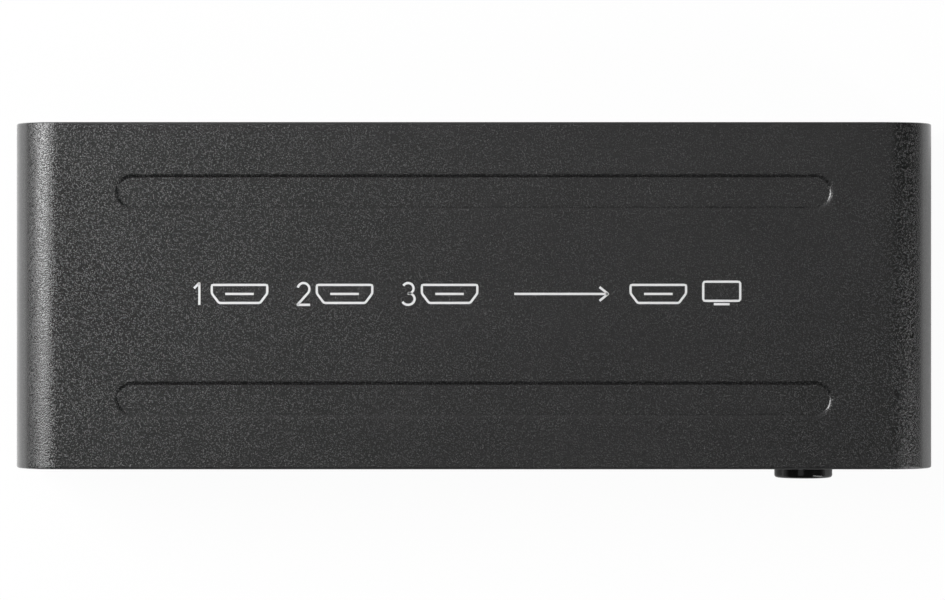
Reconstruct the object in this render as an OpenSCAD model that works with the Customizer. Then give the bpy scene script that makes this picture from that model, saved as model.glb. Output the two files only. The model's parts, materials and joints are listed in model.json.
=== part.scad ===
// Video switch box: a folded sheet-metal case with three input sockets, one output socket,
// a power jack and a round select button. Millimetres.
// X runs along the front, Y towards the rear and Z up. The origin is the centre of the box
// that bounds the object, on the surface that its feet stand on.

/* [Case] */
// Width over the cover's two side walls
case_w = 140; // [124:1:180]
// Depth of the cover, from its front cut edge to its rear one
case_d = 52.6; // [47:0.1:80]
// Height of the case without its feet
case_h = 20; // [18.5:0.5:30]
// Thickness of the cover's sheet
cover_t = 1.2; // [1.2:0.1:1.6]
// Thickness of the tray's sheet
tray_t = 1; // [0.8:0.1:1.4]
// Outer radius of the cover's two bends
bend_r = 6; // [3:0.5:8]
// Outer radius of the folds between the tray's floor and its panels
fold_r = 2; // [1.6:0.2:3]
// How far the front and rear panels sit inside the cover's cut edges
panel_inset = 0.5; // [0.2:0.1:1.5]
// Gap between the cover and the tray inside it
case_fit = 0.2; // [0.1:0.05:0.4]

/* [Pressed slots] */
// Length of each slot pressed into the cover
slot_len = 109; // [60:0.5:110]
// Width of each slot
slot_w = 5.9; // [3:0.1:8]
// Depth that each slot is pressed
slot_depth = 0.25; // [0.15:0.05:0.8]
// Width of the sloping wall round each slot
slot_wall = 0.8; // [0.4:0.05:1.2]
// Distance between the two slots' centre lines
slot_pitch = 31.4; // [20:0.2:36]

/* [Feet] */
// Diameter of a rubber foot
foot_d = 9; // [6:0.5:11]
// Height of a rubber foot
foot_h = 1.6; // [1:0.1:4]
// Distance from the case's side to a foot's centre
foot_inset_x = 16; // [14:1:40]
// Distance from the case's front or rear to a foot's centre
foot_inset_y = 8; // [7:0.5:16]

/* [Screws] */
// Diameter of every screw's thread
screw_d = 2.5; // [2:0.1:3]
// Diameter of a cover screw's countersunk head
cover_head_d = 4.7; // [4:0.1:4.8]
// Length of a cover screw, its head included
cover_screw_len = 4; // [3:0.5:5]
// Distance between the two cover screws in one side wall
cover_screw_pitch = 28; // [16:1:32]
// Height of the cover screws above the underside of the tray
cover_screw_h = 10; // [8:0.5:13]
// Diameter of a board screw's pan head
board_head_d = 4.6; // [4:0.1:5]
// Height of a board screw's pan head
board_head_h = 1.6; // [1.2:0.1:2]
// Gap between a board screw's tip and the floor of its standoff's hole
board_screw_gap = 0.4; // [0.2:0.1:1.2]

/* [Circuit board] */
// Thickness of the circuit board
board_t = 1.6; // [1:0.1:1.8]
// Height of the standoffs that carry the board
standoff_h = 3.4; // [3.2:0.1:3.8]
// Diameter of a standoff
standoff_d = 5; // [4.4:0.1:6]
// Distance from the board's side to a standoff's axis
standoff_inset_x = 4.3; // [3.5:0.1:5]
// Distance from the board's front or rear to a standoff's axis
standoff_inset_y = 4.7; // [3.5:0.1:8]

/* [Select button] */
// Distance from the case's right side to the button's axis
button_inset = 19.3; // [17:0.1:24]
// Diameter of the button
button_d = 8.9; // [7:0.1:9.6]
// How far the button stands out of the cover's front edge
button_proud = 1.75; // [1:0.05:3.5]
// Travel of the button
button_travel = 0.35; // [0.25:0.05:0.7]
// Gap between the button and the edge of its hole
button_fit = 0.2; // [0.1:0.05:0.4]
// Height of the button's axis above the board
switch_axis_h = 4; // [3.6:0.1:4.6]

/* [Video sockets] */
// Width of a socket's opening
socket_w = 14; // [13.6:0.1:14.4]
// Height of a socket's opening
socket_h = 4.55; // [4.4:0.05:4.8]
// Length of a socket's shell
socket_len = 11.5; // [10:0.5:13]
// Thickness of a socket's shell
shell_t = 0.3; // [0.2:0.05:0.4]
// Distance from the case's left side to the middle of the first input socket
socket_inset = 22; // [20:0.5:26]
// How far the sockets and the jack stand out of the rear panel
socket_proud = 0.4; // [0:0.1:0.5]
// Gap between a socket or the jack and the edge of its hole
cutout_fit = 0.3; // [0.2:0.05:0.5]

/* [Power jack] */
// Distance from the case's right side to the power jack's axis
jack_inset = 17; // [15.5:0.5:19]
// Distance from the middle of the output socket to the power jack's axis
jack_gap = 23; // [16:0.5:26]
// Diameter of the jack's bore
jack_bore_d = 6.3; // [6:0.1:6.6]
// Diameter of the jack's centre pin
jack_pin_d = 2.1; // [1.7:0.1:2.5]
// Width of the jack's body
jack_w = 9; // [8.6:0.1:9.4]
// Height of the jack's axis above the board
jack_axis_h = 6.5; // [5.6:0.1:6.5]

/* [Lamps and sensor] */
// Diameter of an indicator lamp
lamp_d = 3; // [2.4:0.1:4]
// Distance from the button's axis to the nearest input lamp
lamp_gap = 16.7; // [12:0.1:20]
// Distance from one input lamp to the next
lamp_pitch = 10; // [7:0.5:12]
// Distance from the case's left side to the remote sensor's axis
sensor_inset = 19.3; // [16:0.1:24]
// Distance from the remote sensor's axis to the power lamp
power_lamp_gap = 12.7; // [9:0.1:30]
// Diameter of the sensor's window
window_d = 5; // [4:0.1:6]

/* [Hidden] */
$fn = 64;
SOCKETS = ["input_1", "input_2", "input_3", "output"];
LAMPS = ["power", "input_1", "input_2", "input_3"];
FEET = ["front_left", "front_right", "rear_left", "rear_right"];

// Overshoot of a cutting tool past the face that it opens
cut = 0.5;
// Gap round a pressed-in piece and round a screw's thread
press_fit = 0.03;
// Gap round a lead or leg in the board, and round a contact in its channel
lead_fit = 0.1;
// How far leads and legs reach out of the board's underside
lead_tail = 1;

// Levels, from the standing surface up
tray_z = foot_h;
floor_top = tray_z + tray_t;
board_z = floor_top + standoff_h;
board_top = board_z + board_t;
case_top = tray_z + case_h;
button_z = board_top + switch_axis_h;

// Faces, from front to rear, with the case centred on Y zero
front_edge = -case_d / 2;
front_face = front_edge + panel_inset;
front_inner = front_face + tray_t;
rear_face = -front_face;
rear_inner = -front_inner;
// The button stands out of the front only, so the case lies half of that behind the origin
case_shift = button_proud / 2;

// Places along X
socket_count = len(SOCKETS);
button_x = case_w / 2 - button_inset;
sensor_x = sensor_inset - case_w / 2;
jack_x = case_w / 2 - jack_inset;
socket_first_x = socket_inset - case_w / 2;
socket_pitch = (jack_x - jack_gap - socket_first_x) / (socket_count - 1);

// Tray
tray_w = case_w - 2 * (cover_t + case_fit);
panel_d = rear_face - front_face;
panel_h = case_h - cover_t - case_fit;
panel_corner_r = bend_r - cover_t - case_fit;
ear_w = 12;
ear_corner_r = 2;
ear_above_screw = 4;

// Screws
screw_r = screw_d / 2;
countersink_depth = (cover_head_d - screw_d) / 2;
cross_w = 0.55;
cross_depth = 0.8;
// Share of a screw head's diameter that its cross recess spans
cross_share = 0.6;

// Circuit board
board_side_gap = 0.8;
board_front_gap = 2.2;
board_rear_gap = 0.3;
board_corner_r = 1.5;
board_w = tray_w - 2 * (tray_t + board_side_gap);
board_front = front_inner + board_front_gap;
board_rear = rear_inner - board_rear_gap;
standoff_shoulder = 0.7;
standoff_shank_d = standoff_d - 2 * standoff_shoulder;
board_screw_len = board_t + standoff_h - board_screw_gap;

// Button and the tactile switch behind it, from front to rear
button_front = front_edge - button_proud;
button_edge_r = 0.5;
flange_gap = 0.15;
flange_lip = 0.9;
flange_t = 0.8;
hub_wall = 1.2;
hub_len = 1.6;
flange_front = front_inner + flange_gap;
flange_back = flange_front + flange_t;
hub_back = flange_back + hub_len;
bracket_t = 0.3;
hub_gap = 0.3;
bracket_front = hub_back + button_travel + hub_gap;
bracket_back = bracket_front + bracket_t;
plunger_r = 1.7;
plunger_fit = 0.15;
plunger_lip = 0.6;
plunger_lip_t = 0.7;
plunger_rest_gap = 0.1;
plunger_lip_front = bracket_back + plunger_rest_gap;
plunger_back = plunger_lip_front + plunger_lip_t;
plunger_grip = 2.2;
dome_t = 0.1;
dome_spare = 0.15;
dome_rise = button_travel + dome_spare;
chamber_gap = 0.4;
chamber_r = plunger_r + plunger_lip + chamber_gap;
dome_gap = 0.3;
dome_r = chamber_r - dome_gap;
chamber_back = plunger_back + dome_rise + dome_t;
housing_wall = 0.3;
housing_w = 2 * (chamber_r + housing_wall);
housing_top = chamber_r + housing_wall;
housing_base_t = 1.2;
housing_back = chamber_back + housing_base_t;

// Sockets
socket_bottom_w = 10.4;
socket_side_h = 2.4;
socket_corner_r = 0.5;
mouth_y = rear_face + socket_proud;
leg_w = 1;
leg_depths = [3.4, 8.6];
tongue_t = 1.4;
tongue_tip = 2.2;
tongue_root = 7.6;
tongue_rise = 0.15;
tongue_z = shell_t + socket_h / 2 + tongue_rise;
contact_w = 0.3;
contact_t = 0.15;
contact_inset = 0.1;
contact_pitch = 1;
contact_foot = 1.2;
contact_tip_gap = 0.4;
contact_back_gap = 0.3;
upper_contacts = 10;
lower_contacts = 9;
tongue_margin = 0.75;
tongue_w = (upper_contacts - 1) * contact_pitch + contact_w + 2 * tongue_margin;

// Power jack, along its axis from the mouth inwards
jack_nose_d = 8;
jack_seat_gap = 0.1;
jack_nose_len = socket_proud + tray_t + jack_seat_gap;
jack_len = 12.5;
jack_back = jack_nose_len + jack_len;
jack_bore_len = 9.5;
jack_pin_tip = 1.2;
jack_pin_shoulder = 0.25;
jack_pin_root_d = jack_pin_d + 2 * jack_pin_shoulder;
jack_tab_w = 2;
jack_tab_t = 0.4;
spring_w = 2;
spring_t = 0.3;
spring_from = 3;
spring_to = 10;
spring_lift = 0.35;

// Lamps
lamp_proud = 0.3;
lamp_tip = front_face - lamp_proud;
lamp_len = 5.3;
lamp_back = lamp_tip + lamp_len;
lamp_lip = 0.4;
lamp_lip_t = 1;
lamp_hole_fit = 0.1;
lead_t = 0.5;
lead_pitch = 2.54;
lead_run = 2;
holder_w = 5;
holder_d = 4;
holder_rise = 2.4;

// Remote sensor and its window
window_fit = 0.1;
window_lip = 0.8;
window_lip_t = 0.8;
sensor_w = 6;
sensor_d = 4.6;
sensor_h = 7;
sensor_dome_r = 2.2;
sensor_gap = 0.4;
sensor_front = front_inner + window_lip_t + sensor_gap + sensor_dome_r;
sensor_lead_pitch = 2;

// Where things stand
function socket_x(i) = socket_first_x + i * socket_pitch;
function lamp_x(i) = i == 0 ? sensor_x + power_lamp_gap
    : button_x - lamp_gap - (len(LAMPS) - 1 - i) * lamp_pitch;
function foot_x(i) = (i % 2 == 0 ? -1 : 1) * (case_w / 2 - foot_inset_x);
function foot_y(i) = (i < 2 ? -1 : 1) * (case_d / 2 - foot_inset_y);

module in_case() translate([0, case_shift, 0]) children();

module at_slots()
    for (side = [-1, 1]) translate([0, side * slot_pitch / 2, case_top]) children();

// Outward along the screw's axis is +Z, and the wall's outer face is Z zero
module at_cover_screws()
    for (side = [0, 1], row = [-1, 1]) mirror([side, 0, 0])
        translate([case_w / 2, row * cover_screw_pitch / 2, tray_z + cover_screw_h])
            rotate([0, 90, 0]) children();

module at_standoffs()
    for (x = [-1, 1] * (board_w / 2 - standoff_inset_x))
        for (y = [board_front + standoff_inset_y, board_rear - standoff_inset_y])
            translate([x, y, 0]) children();

// The mouth faces +Y, and Z zero is the board's upper face
module at_socket(i) translate([socket_x(i), mouth_y, board_top]) children();
module at_all_sockets() for (i = [0 : socket_count - 1]) at_socket(i) children();
module at_jack() translate([jack_x, mouth_y, board_top + jack_axis_h]) children();
module at_lamp(i) translate([lamp_x(i), 0, button_z]) children();
module at_all_lamps() for (i = [0 : len(LAMPS) - 1]) at_lamp(i) children();

// A profile of (radius, distance along Y) points, turned about the Y axis
module turned_about_y(points) rotate([-90, 0, 0]) rotate_extrude() polygon(points);

// A profile in (Y, Z), given its width along X, centred on X zero
module across(width)
    translate([-width / 2, 0, 0]) rotate([90, 0, 90]) linear_extrude(width) children();

// A profile in (X, Z), carried along Y from one place to another
module along_y(from, to)
    translate([0, to, 0]) rotate([90, 0, 0]) linear_extrude(to - from) children();

// A hole through a panel of the tray, about the Y axis
module panel_hole(r, face) translate([0, face - cut, 0]) rotate([-90, 0, 0])
    cylinder(r = r, h = tray_t + 2 * cut);

// A rectangle that stands on the X axis, with two round upper corners
module arch(w, h, r) {
    translate([-w / 2, 0]) square([w, h - r]);
    translate([r - w / 2, 0]) square([w - 2 * r, h]);
    for (side = [-1, 1]) translate([side * (w / 2 - r), h - r]) circle(r);
}

// The same with its two round corners at the bottom
module trough(w, h, r) translate([0, h]) mirror([0, 1]) arch(w, h, r);

module rounded_plate(w, d, r) {
    square([w - 2 * r, d], center = true);
    square([w, d - 2 * r], center = true);
    for (x = [-1, 1] * (w / 2 - r), y = [-1, 1] * (d / 2 - r)) translate([x, y]) circle(r);
}

// Top cover

module cover_section() difference() {
    arch(case_w, case_h, bend_r);
    translate([0, -cut]) arch(case_w - 2 * cover_t, case_h - cover_t + cut, bend_r - cover_t);
}

// One side of a slot's section: the wall rolls over from the sheet's face and steepens down to
// the slot's floor
slot_wall_steps = 6;
function slot_profile() = concat(
    [[0, cover_t / 2], [slot_w / 2, cover_t / 2]],
    [for (i = [0 : slot_wall_steps]) let (t = i / slot_wall_steps)
        [slot_w / 2 - slot_wall * t, -slot_depth * t * t]],
    [[0, -slot_depth]]
);

module pressed_slot() {
    straight = slot_len - slot_w;
    for (end = [0, 1]) mirror([end, 0, 0]) translate([straight / 2, 0, 0])
        rotate([0, 0, -90]) rotate_extrude(angle = 180) polygon(slot_profile());
    across(straight) {
        polygon(slot_profile());
        mirror([1, 0]) polygon(slot_profile());
    }
}

module countersunk_hole() {
    translate([0, 0, -cover_t - cut]) cylinder(r = screw_r + press_fit, h = cover_t + cut);
    translate([0, 0, -countersink_depth])
        cylinder(r1 = screw_r + press_fit, r2 = cover_head_d / 2 + press_fit, h = countersink_depth);
    cylinder(r = cover_head_d / 2 + press_fit, h = cut);
}

module top_cover() color("#333436") difference() {
    union() {
        translate([0, 0, tray_z]) along_y(front_edge, -front_edge) cover_section();
        at_slots() translate([0, 0, -cover_t]) pressed_slot();
    }
    at_slots() pressed_slot();
    at_cover_screws() countersunk_hole();
}

// Base tray

module tray_section() difference() {
    trough(panel_d, panel_h, fold_r);
    translate([0, tray_t]) trough(panel_d - 2 * tray_t, panel_h, fold_r - tray_t);
}

module side_ears()
    for (side = [0, 1], row = [-1, 1]) mirror([side, 0, 0])
        translate([tray_w / 2 - tray_t / 2, row * cover_screw_pitch / 2, tray_z])
            across(tray_t) arch(ear_w, cover_screw_h + ear_above_screw, ear_corner_r);

// Panels and ears all keep inside one outline that follows the cover's bends
module folded_sheet() intersection() {
    union() {
        translate([0, 0, tray_z]) across(tray_w) tray_section();
        side_ears();
    }
    translate([0, 0, tray_z]) along_y(front_edge, -front_edge) arch(tray_w, panel_h, panel_corner_r);
}

module base_tray() color("#2c2d2f") difference() {
    folded_sheet();
    at_cover_screws() translate([0, 0, -cover_t - case_fit - tray_t - cut])
        cylinder(r = screw_r + press_fit, h = tray_t + 2 * cut);
    at_standoffs() translate([0, 0, tray_z - cut])
        cylinder(d = standoff_shank_d + 2 * press_fit, h = tray_t + 2 * cut);
    at_all_sockets() along_y(-socket_proud - tray_t - cut, cut)
        socket_outline(shell_t + cutout_fit);
    translate([jack_x, 0, board_top + jack_axis_h])
        panel_hole(jack_nose_d / 2 + cutout_fit, rear_inner);
    translate([button_x, 0, button_z]) panel_hole(button_d / 2 + button_fit, front_face);
    translate([sensor_x, 0, button_z]) panel_hole(window_d / 2 + window_fit, front_face);
    at_all_lamps() panel_hole(lamp_d / 2 + lamp_hole_fit, front_face);
}

// Feet

foot_edge_r = 0.5;
foot_taper = 0.3;
function foot_profile() = concat(
    [[0, 0]],
    [for (a = [0 : 30 : 90]) [foot_d / 2 - foot_edge_r * (1 - sin(a)), foot_edge_r * (1 - cos(a))]],
    [[foot_d / 2 - foot_taper, foot_h], [0, foot_h]]
);
module foot(i) color("#1c1c1d") translate([foot_x(i), foot_y(i), 0])
    rotate_extrude() polygon(foot_profile());

// Screws and standoffs

module cross_recess(span) for (turn = [0, 90]) rotate([0, 0, turn])
    translate([-span / 2, -cross_w / 2, -cross_depth]) cube([span, cross_w, cross_depth + cut]);

module cover_screws() color("#222324") at_cover_screws() difference() {
    union() {
        translate([0, 0, -countersink_depth])
            cylinder(r1 = screw_r, r2 = cover_head_d / 2, h = countersink_depth);
        translate([0, 0, -cover_screw_len]) cylinder(r = screw_r, h = cover_screw_len - countersink_depth);
    }
    cross_recess(cover_head_d * cross_share);
}

module board_standoffs() color("#b9b4a6") at_standoffs() difference() {
    union() {
        translate([0, 0, floor_top]) cylinder(d = standoff_d, h = standoff_h);
        translate([0, 0, tray_z]) cylinder(d = standoff_shank_d, h = tray_t);
    }
    translate([0, 0, floor_top]) cylinder(r = screw_r + press_fit, h = standoff_h + cut);
}

pan_steps = 4;
// How far the head's round edge reaches in, and the share of its height that is an upright wall
pan_edge = 0.6;
pan_wall_share = 0.4;
function pan_profile() = concat(
    [[0, 0], [board_head_d / 2, 0]],
    [for (i = [1 : pan_steps]) let (a = i * 90 / pan_steps)
        [board_head_d / 2 - pan_edge * (1 - cos(a)),
            board_head_h * (pan_wall_share + (1 - pan_wall_share) * sin(a))]],
    [[0, board_head_h]]
);
module board_screws() color("silver") at_standoffs() translate([0, 0, board_top]) difference() {
    union() {
        rotate_extrude() polygon(pan_profile());
        translate([0, 0, -board_screw_len]) cylinder(r = screw_r, h = board_screw_len);
    }
    translate([0, 0, board_head_h]) cross_recess(board_head_d * cross_share);
}

// Circuit board

module board_hole(r) translate([0, 0, board_z - cut]) cylinder(r = r, h = board_t + 2 * cut);
// A round hole for a square lead
module lead_hole() board_hole(lead_t / sqrt(2) + lead_fit);
module lead_slot(w, d) translate([-w / 2 - lead_fit, -d / 2 - lead_fit, board_z - cut])
    cube([w + 2 * lead_fit, d + 2 * lead_fit, board_t + 2 * cut]);

module circuit_board() color("#1f5a35") difference() {
    translate([0, (board_front + board_rear) / 2, board_z]) linear_extrude(board_t)
        rounded_plate(board_w, board_rear - board_front, board_corner_r);
    at_standoffs() board_hole(screw_r + press_fit);
    for (i = [0 : socket_count - 1]) translate([socket_x(i), mouth_y, 0]) at_legs()
        lead_slot(shell_t, leg_w);
    at_jack_tab() lead_slot(jack_tab_w, jack_tab_t);
    at_spring_leg() lead_slot(spring_w, spring_t);
    at_lamp_leads() lead_hole();
    at_sensor_leads() lead_hole();
    at_switch_terminals() lead_slot(terminal_w, terminal_t);
    at_bracket_legs() lead_slot(bracket_t, bracket_leg_d);
}

// Video sockets

// The opening's outline, wide at the top and drawn in at the bottom, with every side moved out by grow
function socket_points(grow) =
    let (slope = atan((socket_w - socket_bottom_w) / 2 / socket_side_h),
        side_x = socket_w / 2 + grow,
        foot_x = socket_bottom_w / 2 + grow * (1 / cos(slope) - tan(slope)),
        knee_z = socket_side_h + grow * (1 - 1 / cos(slope)) / tan(slope))
    [[-foot_x, -grow], [foot_x, -grow], [side_x, knee_z], [side_x, socket_h + grow],
        [-side_x, socket_h + grow], [-side_x, knee_z]];

module socket_outline(grow) translate([0, shell_t]) {
    r = socket_corner_r + max(grow, 0);
    offset(r = r, $fn = 24) offset(delta = -r) polygon(socket_points(grow));
}

module at_legs() for (side = [-1, 1], depth = leg_depths)
    translate([side * (socket_w / 2 + shell_t / 2), -depth, 0]) children();

// Places of the spring fingers: distance from the middle, and whether in the upper or lower wall
finger_places = [[-3.4, 1], [3.4, 1], [-2.6, 0], [2.6, 0]];
finger_w = 1.6;
finger_gap = 0.3;
finger_tip = 2.8;
finger_root = 6.8;
finger_bow = 0.35;
finger_overlap = 0.2;
finger_steps = 8;
// One face of a finger, as (Y, Z) points: it bows into the opening, and its tip turns back a little
function finger_face(level, bow) = concat(
    [[-finger_root - finger_overlap, level]],
    [for (i = [0 : finger_steps]) let (t = i / finger_steps)
        [-finger_root + (finger_root - finger_tip) * t, level + bow * (1 - cos(290 * t)) / 2]]
);

module at_fingers() for (place = finger_places)
    translate([place[0], 0, shell_t + place[1] * socket_h]) mirror([0, 0, place[1]]) children();

// Inwards is +Z here, and the wall's inner face is Z zero
module finger() across(finger_w)
    polygon(concat(finger_face(-shell_t, finger_bow), reversed(finger_face(0, finger_bow))));
module finger_window() translate([-finger_w / 2 - finger_gap, -finger_root, -shell_t - cut])
    cube([finger_w + 2 * finger_gap, finger_root - finger_tip + finger_gap, shell_t + 2 * cut]);

module socket_shell() color("#c9cacc") {
    difference() {
        along_y(-socket_len, 0) difference() {
            socket_outline(shell_t);
            socket_outline(0);
        }
        at_fingers() finger_window();
    }
    at_fingers() finger();
    leg_top = shell_t + socket_side_h + socket_corner_r;
    at_legs() translate([-shell_t / 2, -leg_w / 2, -board_t - lead_tail])
        cube([shell_t, leg_w, board_t + lead_tail + leg_top]);
}

// One contact from the side: a strip along the tongue, then down behind the insulator to the board
module contact_section(level) {
    back = -socket_len - contact_back_gap;
    translate([back, level]) square([-back - tongue_tip - contact_tip_gap, contact_t]);
    translate([back, 0]) square([contact_t, level + contact_t]);
    translate([back - contact_foot, 0]) square([contact_foot + contact_t, contact_t]);
}

module at_contacts(count) for (i = [0 : count - 1])
    translate([(i - (count - 1) / 2) * contact_pitch, 0, 0]) children();

upper_level = tongue_z + tongue_t / 2 - contact_inset;
lower_level = tongue_z - tongue_t / 2 + contact_inset - contact_t;

module socket_contacts() color("#d4af5a") {
    at_contacts(upper_contacts) across(contact_w) contact_section(upper_level);
    at_contacts(lower_contacts) across(contact_w) contact_section(lower_level);
}

module contact_channel(level)
    translate([-contact_w / 2 - lead_fit / 2, -socket_len - cut, level - lead_fit / 4])
        cube([contact_w + lead_fit, socket_len + cut - tongue_tip - contact_tip_gap + lead_fit,
            contact_t + lead_fit / 2]);

module socket_insulator() color("#1b1b1c") difference() {
    union() {
        along_y(-socket_len, -tongue_root) socket_outline(-press_fit);
        translate([-tongue_w / 2, -tongue_root - cut, tongue_z - tongue_t / 2])
            cube([tongue_w, tongue_root + cut - tongue_tip, tongue_t]);
    }
    at_contacts(upper_contacts) contact_channel(upper_level);
    at_contacts(lower_contacts) contact_channel(lower_level);
}

// Power jack, with its axis on Y and its mouth at Y zero

module jack_profile() {
    translate([-jack_w / 2, -jack_axis_h]) square([jack_w, jack_axis_h]);
    circle(d = jack_w);
}

module at_jack_tab() translate([jack_x, mouth_y - jack_back - jack_tab_t / 2, 0]) children();
module at_spring_leg() translate([jack_x, mouth_y - spring_to + spring_t / 2, 0]) children();

spring_level = -jack_bore_d / 2 - spring_t;
spring_steps = 8;
// One face of the leaf, as (Y, Z) points: it bows up once into the bore between its two ends
function spring_face(level) = [for (i = [0 : spring_steps]) let (t = i / spring_steps)
    [-spring_to + (spring_to - spring_from) * t, level + spring_lift * (1 - cos(360 * t)) / 2]];
function reversed(points) = [for (i = [len(points) - 1 : -1 : 0]) points[i]];

module spring_section() {
    leg_foot = -jack_axis_h - board_t - lead_tail;
    polygon(concat(spring_face(spring_level), reversed(spring_face(spring_level + spring_t))));
    translate([-spring_to, leg_foot]) square([spring_t, spring_level + spring_t - leg_foot]);
}

module power_jack_body() color("#1d1d1e") at_jack() difference() {
    union() {
        along_y(-jack_back, -jack_nose_len) jack_profile();
        rotate([90, 0, 0]) cylinder(d = jack_nose_d, h = jack_nose_len + cut);
    }
    translate([0, cut, 0]) rotate([90, 0, 0]) cylinder(d = jack_bore_d, h = jack_bore_len + cut);
    rotate([90, 0, 0]) cylinder(r = jack_pin_root_d / 2 + press_fit, h = jack_back + cut);
    // Room for the spring below the bore, and for its leg down to the board
    translate([-spring_w / 2 - lead_fit, -spring_to - lead_fit, spring_level - lead_fit])
        cube([spring_w + 2 * lead_fit, spring_to - spring_from + 2 * lead_fit, -spring_level]);
    translate([-spring_w / 2 - lead_fit, -spring_to - lead_fit, -jack_axis_h - cut])
        cube([spring_w + 2 * lead_fit, spring_t + 2 * lead_fit, jack_axis_h + cut + spring_level]);
}

pin_nose = 0.5;
module power_jack_pin() color("#cfcfd2") at_jack() {
    turned_about_y([[0, -jack_back - jack_tab_t], [jack_pin_root_d / 2, -jack_back - jack_tab_t],
        [jack_pin_root_d / 2, -jack_bore_len], [jack_pin_d / 2, -jack_bore_len],
        [jack_pin_d / 2, -jack_pin_tip - pin_nose], [jack_pin_d / 2 - pin_nose, -jack_pin_tip],
        [0, -jack_pin_tip]]);
    translate([-jack_tab_w / 2, -jack_back - jack_tab_t, -jack_axis_h - board_t - lead_tail])
        cube([jack_tab_w, jack_tab_t, jack_axis_h + board_t + lead_tail + jack_pin_root_d]);
}

module power_jack_spring() color("#cfcfd2") at_jack() across(spring_w) spring_section();

// Select button and the tactile switch behind it

function button_profile() = concat(
    [[0, button_front]],
    [for (a = [0 : 15 : 90])
        [button_d / 2 - button_edge_r * (1 - sin(a)), button_front + button_edge_r * (1 - cos(a))]],
    [[button_d / 2, flange_front], [button_d / 2 + flange_lip, flange_front],
        [button_d / 2 + flange_lip, flange_back],
        [plunger_r + press_fit + hub_wall, flange_back], [plunger_r + press_fit + hub_wall, hub_back],
        [plunger_r + press_fit, hub_back], [plunger_r + press_fit, hub_back - plunger_grip],
        [0, hub_back - plunger_grip]]
);
module at_button() translate([button_x, 0, button_z]) children();
module select_button() color("#101011") at_button() turned_about_y(button_profile());

module switch_plunger() color("#3a3a3c") at_button() turned_about_y([
    [0, hub_back - plunger_grip + press_fit], [plunger_r, hub_back - plunger_grip + press_fit],
    [plunger_r, plunger_lip_front], [plunger_r + plunger_lip, plunger_lip_front],
    [plunger_r + plunger_lip, plunger_back], [0, plunger_back]]);

// A shallow dished disc, its crown against the plunger and its rim on the housing's floor
dome_steps = 6;
function dome_face(level) = [for (i = [0 : dome_steps]) let (t = i / dome_steps)
    [dome_r * t, level + dome_rise * t * t]];
module switch_dome() color("#d8d8da") at_button()
    turned_about_y(concat(dome_face(plunger_back), reversed(dome_face(plunger_back + dome_t))));

module switch_housing() color("#202022") at_button() difference() {
    translate([-housing_w / 2, bracket_back, -switch_axis_h])
        cube([housing_w, housing_back - bracket_back, switch_axis_h + housing_top]);
    translate([0, bracket_back - cut, 0]) rotate([-90, 0, 0])
        cylinder(r = chamber_r, h = chamber_back - bracket_back + cut);
}

bracket_leg_d = 1.2;
bracket_foot = 0.5;
bracket_x = housing_w / 2 + bracket_t / 2;
module at_bracket_legs() for (side = [-1, 1])
    translate([button_x + side * bracket_x, housing_back - bracket_leg_d / 2, 0]) children();

module switch_bracket() color("#bfc0c2") {
    at_button() difference() {
        translate([-housing_w / 2 - bracket_t, bracket_front, bracket_foot - switch_axis_h])
            cube([housing_w + 2 * bracket_t, bracket_t, switch_axis_h + housing_top - bracket_foot]);
        translate([0, bracket_front - cut, 0]) rotate([-90, 0, 0])
            cylinder(r = plunger_r + plunger_fit, h = bracket_t + 2 * cut);
    }
    for (side = [-1, 1]) translate([button_x + side * bracket_x - bracket_t / 2, 0, 0]) {
        translate([0, bracket_front, board_top + bracket_foot])
            cube([bracket_t, housing_back - bracket_front, switch_axis_h + housing_top - bracket_foot]);
        translate([0, housing_back - bracket_leg_d, board_z - lead_tail])
            cube([bracket_t, bracket_leg_d, board_t + lead_tail + bracket_foot]);
    }
}

terminal_w = 0.7;
terminal_t = 0.3;
terminal_inset = 0.75;
terminal_pitch = housing_w - 2 * terminal_inset;
module at_switch_terminals() for (side = [-1, 1])
    translate([button_x + side * terminal_pitch / 2, housing_back + terminal_t / 2, 0]) children();
module switch_terminals() color("#cfcfd2") at_switch_terminals()
    translate([-terminal_w / 2, -terminal_t / 2, board_z - lead_tail])
        cube([terminal_w, terminal_t, lead_tail + board_t + switch_axis_h / 2]);

// Lamps

lamp_dome_steps = 6;
function lamp_profile() = concat(
    [for (i = [0 : lamp_dome_steps]) let (a = 90 * i / lamp_dome_steps)
        [lamp_d / 2 * sin(a), lamp_tip + lamp_d / 2 * (1 - cos(a))]],
    [[lamp_d / 2, lamp_back - lamp_lip_t], [lamp_d / 2 + lamp_lip, lamp_back - lamp_lip_t],
        [lamp_d / 2 + lamp_lip, lamp_back], [0, lamp_back]]
);
module lamp(i) color(i == 0 ? "#d9f2dc" : "#dfe9f7") at_lamp(i) turned_about_y(lamp_profile());

module at_lamp_leads() for (i = [0 : len(LAMPS) - 1], side = [-1, 1])
    translate([lamp_x(i) + side * lead_pitch / 2, lamp_back + lead_run - lead_t / 2, 0]) children();

// A lamp's lead from the side: back from the lamp, then down through the board
module lead_section(grow) {
    translate([lamp_back - grow, button_z - lead_t / 2 - grow])
        square([lead_run + 2 * grow, lead_t + 2 * grow]);
    translate([lamp_back + lead_run - lead_t - grow, board_z - lead_tail - grow])
        square([lead_t + 2 * grow, button_z + lead_t / 2 + 2 * grow - board_z + lead_tail]);
}
module all_lamp_leads(grow) for (i = [0 : len(LAMPS) - 1], side = [-1, 1])
    translate([lamp_x(i) + side * lead_pitch / 2, 0, 0]) across(lead_t + 2 * grow) lead_section(grow);

module lamp_leads() color("#cfcfd2") all_lamp_leads(0);

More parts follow.
